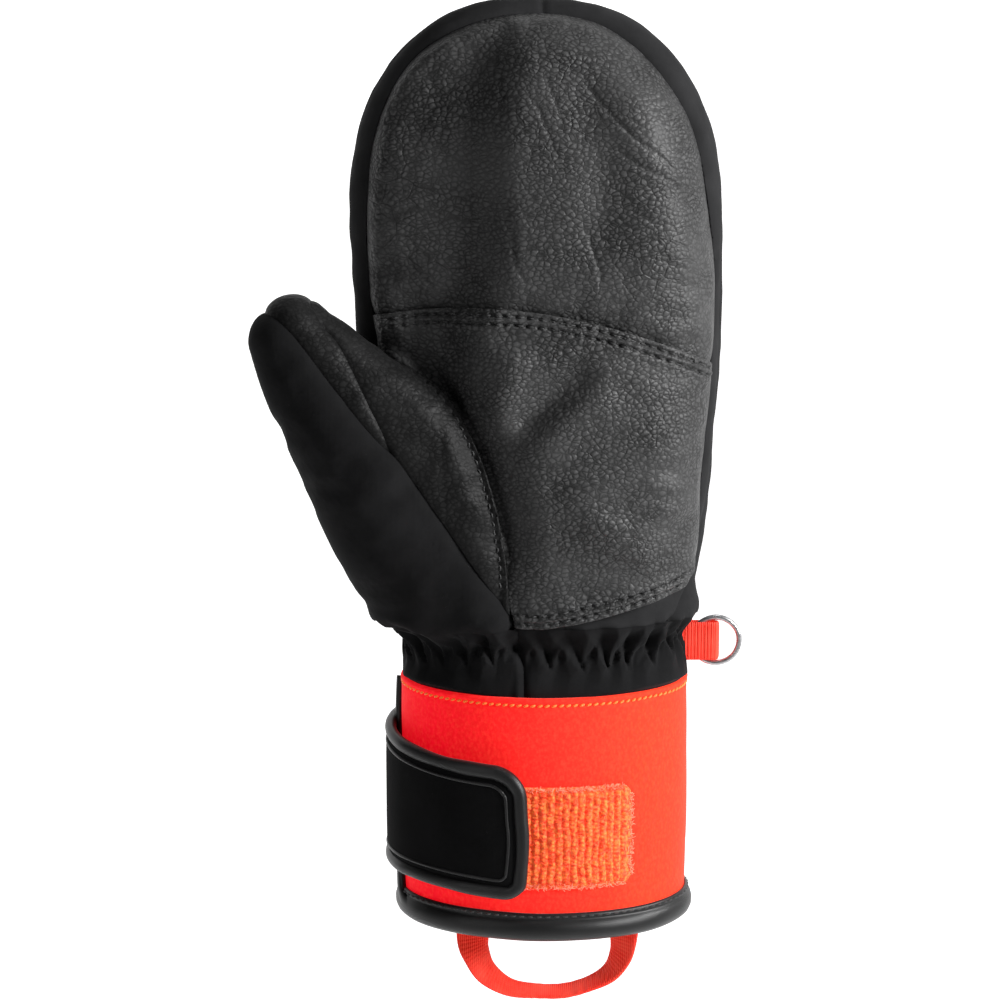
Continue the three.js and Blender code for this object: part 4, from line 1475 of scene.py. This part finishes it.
def cuff_normals(degrees):
    t = np.radians(degrees)
    return unit(np.stack([np.cos(t) * CUFF_B, np.sin(t) * CUFF_A, 0 * t], -1))


def make_elastic():
    """A ribbed band, narrower front to back than the cuff that it is shaped from."""
    low, high = node_box("wrist_elastic")
    inset, thick, narrower = 4.6, 0.9, 24.6 / 28.4
    rows = [(math.sin(k * 1.7) * 0.12 - inset, z) for k, z in enumerate(np.linspace(low[2], high[2], 15))]
    profile = rows + [(out - thick, z) for out, z in rows[::-1]]
    points, faces = hoop(profile, 160)
    points[:, 1] = points[:, 1] * narrower
    made = piece("wrist_elastic_band", points, faces, ELASTIC, "elastic")
    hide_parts("wrist_elastic")
    bend(made)


def make_sleeve():
    """The foam-backed sleeve with its turned top edge, and the red threads that hold the turning."""
    rows = [(0.0, z) for z in np.linspace(MOUTH_Z, LIP_Z - 0.9, 46)]
    groove_rows = [(-0.12, -0.45), (-0.5, 0), (-0.1, 0.4), (0.25, 0.8), (0.35, 1.3)]
    rows += [(out, LIP_Z + z) for out, z in groove_rows]
    turned_edge = [(0.2, -0.4), (-0.2, -0.1), (-0.9, 0), (-1.8, -0.1), (-2.6, -0.5)]
    rows += [(out, CUFF_TOP + z) for out, z in turned_edge]
    rows += [(-SLEEVE_THICK, z) for z in np.linspace(CUFF_TOP - 1, MOUTH_Z, 24)]
    riding_piece("cuff", "neoprene_sleeve", hoop(rows, 420, cuff_wave), NEOPRENE, "neoprene", "cuff_sleeve")
    path = cuff_point(FULL_TURN, -0.42 + cuff_wave(FULL_TURN, np.full(721, LIP_Z)), LIP_Z)
    threads = stitches(path, cuff_normals(FULL_TURN), 2.07, 1.55, 0.4, 0.12, 0.3)
    riding_piece("cuff", "sleeve_stitching", threads, RED_THREAD, "neoprene")


def make_cuff_lining():
    low, high = node_box("cuff_lining")
    zs = np.linspace(low[2] + 0.2, high[2] - 0.2, 40)
    face = -SLEEVE_THICK - 0.3
    rows = [(face, z) for z in zs] + [(face - LINING_THICK, z) for z in zs[::-1]]

    def fuzz(degrees, z):
        return 0.5 * (noise3(cuff_point(degrees, -4, z), 9, 81) - 0.5)

    riding_piece("cuff", "cuff_lining_tube", hoop(rows, 200, fuzz), FLEECE, "fleece", "cuff_lining")


# the hem roll's section, from inside the cuff round below it and up its face
ROLL = [
    (-4.5, 5.0), (-4.75, 2.6), (-4.7, 0.4), (-4.1, -1.4), (-2.8, -2.6), (-1.1, -3.0), (0.5, -2.6),
    (1.6, -1.6), (2.2, -0.2), (2.3, 1.4), (1.95, 2.8), (1.3, 3.7), (0.85, 4.1), (0.85, 4.45),
    (1.1, 4.8), (1.05, 5.5), (0.65, 6.0), (0.1, 5.95), (0.05, 5.3), (0.05, 1.9), (-3.2, 1.9),
    (-3.4, 3.5), (-3.9, 5.2),
]


def make_hem():
    """The rolled binding round the mouth, the roll that climbs from it, and the hem's row of sewing."""

    def wave(degrees, z):
        own = 0.4 * (noise3(cuff_point(degrees, 0, z), 14, 91) - 0.5)
        return own + 0.8 * cuff_wave(degrees, 0 * z + 3)

    roll = hoop(ROLL, 360, wave)
    # the sleeve's overlap is bound too: a roll climbs the thumb side from the hem
    corner = smooth_path([
        (207, 1.0), (198, 1.6), (190.5, 4.4), (187, 9), (185.6, 15), (184, 26), (181, 41), (176, 56),
        (171, 69),
    ], 120)
    up = cuff_normals(corner[:, 0])
    path = cuff_point(corner[:, 0], 0.7 + cuff_wave(corner[:, 0], corner[:, 1]), corner[:, 1])
    climb = swept(path, up, oval(2.4, 1.5, 14, 2.3))
    riding_piece("cuff", "hem_roll", join_parts([roll, climb]), BINDING, "binding", "hem_binding")
    path = cuff_point(FULL_TURN, 1.0 + 0.8 * cuff_wave(FULL_TURN, np.full(721, 3.0)), 5.1)
    threads = stitches(path, cuff_normals(FULL_TURN), 2.6, 1.9, 0.28, 0.05)
    riding_piece("cuff", "hem_stitching", threads, BLACK_THREAD, "binding")


def make_label():
    low, high = node_box("care_label")
    rows, columns = 31, 25
    xs, zs = np.linspace(low[0], high[0], columns), np.linspace(low[2], high[2], rows)
    x, z = np.meshgrid(xs, zs)
    # it follows the lining behind it, and its free end curls away
    curl = 0.9 * ((zs - high[2]) / (high[2] - low[2])) ** 2
    lining_y, lining_radius, thick = 28.2, 55, 0.35
    y = lining_y - (x**2) / (2 * lining_radius) - curl[:, None] + 0.15 * np.sin(x * 0.5) * np.sin(z * 0.3)
    outer = np.stack([x, y, z], -1).reshape(-1, 3)
    shape = slab(outer, outer - [0, thick, 0], rows, columns)
    made = riding_piece("cuff", "blank_care_label", shape, LABEL, "label", "care_label")


# ---------------------------------------------------------------- the loop patch

# the patch reaches from one angle round the cuff to the other
LOOP_START, LOOP_STOP = 232.0, 306.0
ARC = 0.66  # millimetres along the cuff's palm side in a degree
LANE = 1.95  # from one woven column of loops to the next
LOOP_LOW, LOOP_HIGH = node_box("loop_patch")[0][2], node_box("loop_patch")[1][2]
PILE_FLOOR = 0.75


def make_loop_pile():
    """The tape itself, with rounded corners at its free end and knotted columns over its face."""
    rows, columns = 150, 330
    middle, half = (LOOP_LOW + LOOP_HIGH) / 2, (LOOP_HIGH - LOOP_LOW) / 2
    v = np.linspace(-1, 1, rows)[:, None]
    corner = 4.0
    inset = np.maximum(np.abs(v) * half - (half - corner), 0)
    shrink = (corner - np.sqrt(np.maximum(corner**2 - inset**2, 0))) / ARC
    u = np.linspace(0, 1, columns)[None]
    degrees = LOOP_START + (LOOP_STOP - shrink - LOOP_START) * u
    z = middle + half * v + 0 * u
    arc = (degrees - LOOP_START) * ARC
    flat = cuff_point(degrees, 0, z).reshape(-1, 3)

    def grain(size, seed):
        return noise3(flat, size, seed).reshape(z.shape)

    column = np.abs(np.sin(math.pi * (arc + 0.7 * (grain(6, 1) - 0.5)) / LANE)) ** 0.8
    knots = 0.5 + 0.5 * np.sin(TAU * z / 1.25 + 5 * grain(3, 2) + math.pi * np.floor(arc / LANE))
    inner = np.minimum((half - np.abs(z - middle)), (LOOP_STOP - shrink - degrees) * ARC)
    border = fade(inner, 1.1, 2.3)
    pile = 0.75 * column * (0.45 + 0.55 * knots)
    pile = pile + 0.6 * (grain(1.1, 3) - 0.5) + 0.5 * (grain(2.6, 4) - 0.5)
    fringe = 0.5 * (grain(0.9, 5) - 0.3) * bell(inner - 1.4, 0.8)
    wave = cuff_wave(degrees, z)
    out = PILE_FLOOR + border * (0.35 + pile) + fringe + wave
    out = out - 0.5 * (1 - fade(inner, 0, 0.5))
    top = cuff_point(degrees, out, z).reshape(-1, 3)
    under = cuff_point(degrees, -0.05 + wave, z).reshape(-1, 3)
    riding_piece("cuff", "loop_pile", slab(top, under, rows, columns), LOOP_TAPE, "loop_tape", "loop_patch")


def fibre(angle, path):
    """One thin fibre along a short path that stands on the cuff at an angle."""
    up = cuff_normals(np.full(len(path), angle)) + [0, 0, 1e-3]
    return swept(path, up, oval(0.085, 0.085, 3))


def make_loop_strands():
    """Loops of yarn over the tape's face, most of them in its columns."""
    parts = []
    t = np.linspace(-1, 1, 6)
    last = LOOP_STOP - 2.5
    for _ in range(1500):
        a, h = rng.uniform(LOOP_START + 1, last), rng.uniform(LOOP_LOW + 0.5, LOOP_HIGH - 0.5)
        if rng.random() < 0.7:
            column = round(((a - LOOP_START) * ARC) / LANE - 0.5) + 0.5
            a = LOOP_START + (column * LANE + rng.normal(0, 0.18)) / ARC
        if a > last:
            continue
        turn, size = rng.uniform(0, TAU), rng.uniform(0.35, 0.75)
        across = size * t * (1 + 0.3 * t)
        rise = PILE_FLOOR + rng.uniform(0.1, 0.75) + size * 0.9 * (1 - t**2)
        path = cuff_point(a + across * math.cos(turn) / ARC, rise - 0.35, h + across * math.sin(turn))
        parts.append(fibre(a, path))
    riding_piece("cuff", "loop_strands", join_parts(parts), LOOP_TAPE, "loop_tape")


def make_loop_fringe():
    """Pale stray fibres along the tape's low, high and free edges."""
    parts = []
    t = np.linspace(-1, 1, 6)
    for _ in range(620):
        side = rng.random()
        if side < 0.4:
            a, h = rng.uniform(LOOP_START, LOOP_STOP - 4), LOOP_LOW + abs(rng.normal(0.5, 0.5))
        elif side < 0.8:
            a, h = rng.uniform(LOOP_START, LOOP_STOP - 4), LOOP_HIGH - abs(rng.normal(0.5, 0.5))
        else:
            a, h = LOOP_STOP - abs(rng.normal(0.9, 0.8)), rng.uniform(LOOP_LOW + 3, LOOP_HIGH - 3)
        turn, size = rng.uniform(0, TAU), rng.uniform(0.4, 0.9)
        round_cuff = size * t * math.cos(turn) + size * 0.35 * t**2
        rise = PILE_FLOOR + size * 0.5 * (1 - t**2)
        parts.append(fibre(a, cuff_point(a + round_cuff / ARC, rise, h + size * t * math.sin(turn))))
    riding_piece("cuff", "loop_fringe", join_parts(parts), PALE_FUZZ, "loop_tape")


# ---------------------------------------------------------------- the closure tab

# angles round the cuff of the tab's sewn root, its hinge and its free end
TAB_ROOT, TAB_HINGE, TAB_FREE = 112.0, 150.0, 264.0
TAB_WALL = 2.2
TAB_HALF = 21.9
TAB_LEVEL = 37  # the height of the tab's middle at the hinge
TAB_DEGREES = np.linspace(TAB_ROOT, TAB_FREE, 1200)
TAB_ALONG = run_along(cuff_point(TAB_DEGREES, 3.4, 0))
TAB_LENGTH = TAB_ALONG[-1]
HINGE_AT = float(np.interp(TAB_HINGE, TAB_DEGREES, TAB_ALONG))


def tab_point(along, across, out):
    """A point of the tab: along it from its root, across it from its middle, out from its back face."""
    degrees = np.interp(along, TAB_ALONG, TAB_DEGREES)
    t = (degrees - TAB_HINGE) / (TAB_FREE - TAB_HINGE)
    middle = TAB_LEVEL - 5.7 * t
    lift = 1.2 + 1.9 * np.clip(2 * t, -0.35, 1) + 0.8 * fade(t, 0.55, 1.0)
    # beyond its last angle the tab runs straight on
    past = np.maximum(along - TAB_LENGTH, 0)[..., None]
    return cuff_point(degrees, lift + out, middle + across) + past * np.array([0.99, 0.1, 0])


def tab_half(along):
    """Half the tab's height, which narrows a little towards the free end."""
    t = np.clip((along - HINGE_AT) / (TAB_LENGTH - HINGE_AT), -0.5, 1)
    return float(TAB_HALF - 1.9 * fade(t, 0.1, 0.75))


def tab_outline(inset, count):
    """The tab's edge as (along, across): the low side from the root, the free end, and back on top."""
    end, low_r, high_r = TAB_LENGTH - 0.3 - inset, 6.2 - inset * 0.6, 9.5 - inset * 0.8
    h = tab_half(end) - inset
    points = [(a, -tab_half(a) + inset) for a in np.linspace(0.6, end - low_r - 2, 12)]
    for q in np.radians([8, 30, 52, 74]):
        points.append((end - low_r * (1 - math.sin(q)) - 0.3, -h + low_r * (1 - math.cos(q))))
    points += [(end + 0.25, -h * 0.35), (end + 0.3, 0), (end - 0.1, h * 0.3)]
    for q in np.radians([14, 36, 58, 80]):
        points.append((end - high_r * (1 - math.cos(q)) - 0.3, h - high_r * (1 - math.sin(q))))
    points += [(a, tab_half(a) - inset) for a in np.linspace(end - high_r - 2, 0.6, 12)]
    return smooth_path(points, count)


def tab_field():
    """The tab's cloth, filling the outline inside its binding."""
    edge = tab_outline(1.6, 700)
    low, top = np.split(edge, 2)
    turn_top, turn_low = int(top[:, 0].argmax()), int(low[:, 0].argmax())
    reach = min(top[turn_top, 0], low[turn_low, 0])
    closer = np.sin(np.linspace(0.03, 1, 34) * math.pi / 2)
    along = np.concatenate([np.linspace(0.6, reach - 12, 90), reach - 12 * (1 - closer)])
    upper = np.interp(along, top[turn_top:][::-1, 0], top[turn_top:][::-1, 1])
    lower = np.interp(along, low[:turn_low + 1, 0], low[:turn_low + 1, 1])
    columns = 61
    v = np.sin(np.linspace(-1, 1, columns) * math.pi / 2)
    across = (upper + lower)[:, None] / 2 + (upper - lower)[:, None] / 2 * v
    a = np.repeat(along[:, None], columns, 1)
    near = np.minimum((upper[:, None] - across), (across - lower[:, None]))
    near = np.minimum(near, (reach - a))
    flat = tab_point(a, across, 0).reshape(-1, 3)
    soft = (noise3(flat, 17, 101) - 0.5).reshape(a.shape)
    face = TAB_WALL + 0.35 * fade(near, 0, 4) + 0.6 * soft * fade(near, 2, 8) - 0.35 * bell(near - 2.2, 1.1)
    front = tab_point(a, across, face).reshape(-1, 3)
    back = tab_point(a, across, 0.05 * np.ones_like(a)).reshape(-1, 3)
    return slab(front, back, len(along), columns)


def tab_normals(along):
    return cuff_normals(np.interp(along, TAB_ALONG, TAB_DEGREES))


def bend_tab(made):
    hinge = cuff_point(TAB_HINGE, 1.2, TAB_LEVEL)
    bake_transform(made)


def make_tab():
    """The tab's cloth, the roll bound round it and the ridge sewn inside the roll."""
    made = piece("tab_cloth", *tab_field(), TAB_CLOTH, "tab_fabric")
    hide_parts("closure_tab", "tab_base")
    bend_tab(made)
    edge = tab_outline(1.8, 420)
    path = tab_point(edge[:, 0], edge[:, 1], 1.25)
    up = tab_normals(edge[:, 0])
    bulge = 0.9 + 0.2 * noise3(path, 9, 111)
    ring = oval(2.05, 1.75, 16, 2.2)
    roll = swept(path, up, lambda k: ring * bulge[k])
    made = piece("tab_roll", *roll, BINDING, "binding")
    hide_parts("tab_binding")
    bend_tab(made)
    edge = tab_outline(5.6, 360)
    path = tab_point(edge[:, 0], edge[:, 1], TAB_WALL + 0.22)
    ridge = swept(path, tab_normals(edge[:, 0]), oval(0.5, 0.42, 8))
    made = piece("tab_ridge", *ridge, BINDING, "binding")
    bend_tab(made)


def make_hooks():
    """The hook tape on the back of the tab's free end, with its rows of hooks."""
    start = float(np.interp(227, TAB_DEGREES, TAB_ALONG))
    stop = TAB_LENGTH - 4.6
    rows, columns = 40, 36
    half = 13.6
    a, c = np.meshgrid(np.linspace(start, stop, rows), np.linspace(-half, half, columns), indexing="ij")
    rough = 0.12 * (noise3(tab_point(a, c, 0).reshape(-1, 3), 1.5, 5) - 0.5).reshape(a.shape)
    face = tab_point(a, c, -0.75 + rough).reshape(-1, 3)
    back = tab_point(a, c, -0.05).reshape(-1, 3)
    parts = [slab(face, back, rows, columns)]
    # a hook stands up from the tape, leans over and turns back at its tip
    t = np.array([0, 0.5, 0.85, 1.0])
    bent = np.array([0, 0.02, 0.2, 0.45])
    out = -0.7 - 0.62 * t + 0.25 * (t == 1)
    stem = oval(0.11, 0.11, 4)
    for i, along in enumerate(np.arange(start + 0.8, stop - 0.5, 1.35)):
        for across in np.arange(-13 + 0.5 * (i % 2), 13.2, 1.15):
            hook = tab_point(along + bent, across, out)
            parts.append(swept(hook, np.tile([0.1, 0.2, 1.0], (4, 1)), stem))
    riding_piece("closure_tab", "hook_field", join_parts(parts), HOOK_TAPE, "hook_tape", "hook_patch")


# ---------------------------------------------------------------- side tab, ring and pull loop

SIDEWAYS, BACKWARDS, UP = np.eye(3)


def ribbon(path, across, width, thick, rib=0.0, pitch=1.1):
    """A woven band along a path, across giving the direction of its width at each point."""
    along = run_along(path)
    tangent = unit(np.gradient(path, axis=0))
    up = unit(np.cross(tangent, across))
    corners = oval(width / 2, 1, 34, 9)
    edge = 1 - 0.35 * bell(np.abs(corners[:, 0]) - width / 2, 0.5)
    sections = []
    for k in range(len(path)):
        high = (thick / 2 + rib * math.cos(TAU * along[k] / pitch)) * edge
        sections.append(path[k] + corners[:, :1] * across[k] + (corners[:, 1] * high)[:, None] * up[k])
    return sweep(np.array(sections))


def make_side_tab():
    """Webbing folded in two, with the ring in its fold."""
    low, high = node_box("side_tab")
    middle = (low[2] + high[2]) / 2
    bend_x = high[0] - 1.6
    gap = 1.6
    legs = np.linspace(41.5, bend_x, 60)
    turn = np.linspace(-math.pi / 2, math.pi / 2, 26)[1:-1]
    path = np.concatenate([
        np.stack([legs, np.full(60, -gap)], 1),
        np.stack([bend_x + 1.5 * np.cos(turn), gap * np.sin(turn)], 1),
        np.stack([legs[::-1], np.full(60, gap)], 1),
    ])
    path = np.column_stack([path, np.full(len(path), middle)])
    path[:, 1] += 0.06 * np.sin(path[:, 0] * 0.55)
    width = high[2] - low[2] - 0.6
    band = ribbon(path, np.tile(UP, (len(path), 1)), width, 0.95, 0.09, 1.0)
    made = piece("side_tab_band", *band, WEBBING, "webbing")
    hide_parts("side_tab")
    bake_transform(made)


def make_ring():
    low, high = node_box("ring")
    wire = 0.85
    radius = (high[0] - low[0]) / 2 - wire
    count = 96
    angle = np.arange(count) / count * TAU
    path = (low + high) / 2 + np.stack([radius * np.cos(angle), 0 * angle, radius * np.sin(angle)], 1)
    path = path + 0.02 * np.stack([np.sin(5 * angle), np.sin(3 * angle), np.cos(4 * angle)], 1)
    shape = swept(path, np.tile(BACKWARDS, (count, 1)), oval(wire, wire, 16), True)
    riding_piece("ring", "split_ring", shape, STEEL, "steel", "ring")


def make_pull_loop():
    """The loop below the hem, and its two ends inside the cuff."""
    low, high = node_box("pull_loop")
    y = (low[1] + high[1]) / 2
    # the loop's middle line as x and z, and how far its face is turned at each point, in degrees
    course = [
        (-21.8, -1.5), (-21.8, -7.2), (-20.7, -12.2), (-17.6, -18.3), (-10.8, -23.1), (-2.4, -24.4),
        (6.1, -24.3), (14.0, -21.9), (19.8, -18.3), (22.9, -12.9), (23.8, -7.5), (23.6, -1.5),
    ]
    turned = [0, 4, 36, 56, 76, 84, 84, 82, 70, 52, 36, 8]
    points = [(x, y - 0.02 * angle, z + 0.011 * angle, angle) for (x, z), angle in zip(course, turned)]
    line = smooth_path(points, 230)
    line, lie = line[:, :3], np.radians(line[:, 3:])
    flat = unit(np.cross(unit(np.gradient(line, axis=0)), BACKWARDS))
    across = flat * np.cos(lie) + BACKWARDS * np.sin(lie)
    made = piece("pull_loop_band", *ribbon(line, across, 9.6, 1.05, 0.08, 1.05), WEBBING, "webbing")
    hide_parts("pull_loop")
    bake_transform(made)
    for name in ("left", "right"):
        low, high = node_box(f"pull_loop_end_{name}")
        zs = np.linspace(high[2], low[2] + 0.5, 60)
        path = np.stack([np.full(60, (low[0] + high[0]) / 2), y + 0.05 * np.sin(zs), zs], 1)
        tail = ribbon(path, np.tile(SIDEWAYS, (60, 1)), high[0] - low[0], 1.0, 0.07, 1.05)
        riding_piece("cuff", f"pull_loop_tail_{name}", tail, WEBBING, "webbing", f"pull_loop_end_{name}")


make_linings()
make_elastic()
make_sleeve()
make_cuff_lining()
make_hem()
make_label()
make_loop_pile()
make_loop_strands()
make_loop_fringe()
make_tab()
make_hooks()
make_side_tab()
make_ring()
make_pull_loop()

# ---------------------------------------------------------------- floor, backdrop and light


def make_stage():
    """A pale floor well below the mitten, curving up into a backdrop."""
    low, back, radius, steps = -620.0, 2500, 800, 12
    turn = [(-9000, low), (back, low)]
    for k in range(1, steps + 1):
        angle = k / steps * math.pi / 2
        turn.append((back + radius * math.sin(angle), low + radius * (1 - math.cos(angle))))
    turn.append((back + radius, low + 5000))
    xs = np.linspace(-6000, 6000, 7)
    points = np.array([[x, y, z] for y, z in turn for x in xs])
    s = Shader("pale_paper")
    s.set(Base_Color=s.mix(s.noise(9, 3), (0.9, 0.9, 0.9), (0.93, 0.93, 0.93)), Roughness=0.9)
    # the backdrop behind the mitten glows more than the floor in front of it
    s.set(Emission_Color=(1, 1, 1), Emission_Strength=s.spread(s.along("Y"), -0.6, 1.4, 0.22, 0.85))
    s.bump(s.noise(500, 3), 0.05, 0.3)
    piece("floor", points, grid_faces(len(turn), len(xs)), s.material)


def area_light(name, at, aim, size, watts):
    data = bpy.data.lights.new(name, "AREA")
    data.shape = "RECTANGLE"
    data.size, data.size_y = size
    data.energy = watts
    lamp = add_object(name, data)
    lamp.location = at
    lamp.rotation_euler = (Vector(aim) - Vector(at)).to_track_quat("-Z", "Y").to_euler()


def make_light():
    world = bpy.data.worlds.new("world")
    bpy.context.scene.world = world
    world.use_nodes = True
    background = world.node_tree.nodes["Background"]
    background.inputs["Color"].default_value = (1, 1, 1, 1)
    background.inputs["Strength"].default_value = 0.022
    middle = (0, 0, 0.13)
    area_light("key", (0.92, -0.42, 0.45), middle, (0.3, 0.5), 23)
    area_light("fill", (-0.75, -0.8, 0.3), middle, (0.5, 0.7), 1.6)
    area_light("top", (0.15, -0.1, 1.1), middle, (0.6, 0.4), 2.5)
    bpy.context.scene.view_settings.view_transform = "Standard"


make_stage()
make_light()
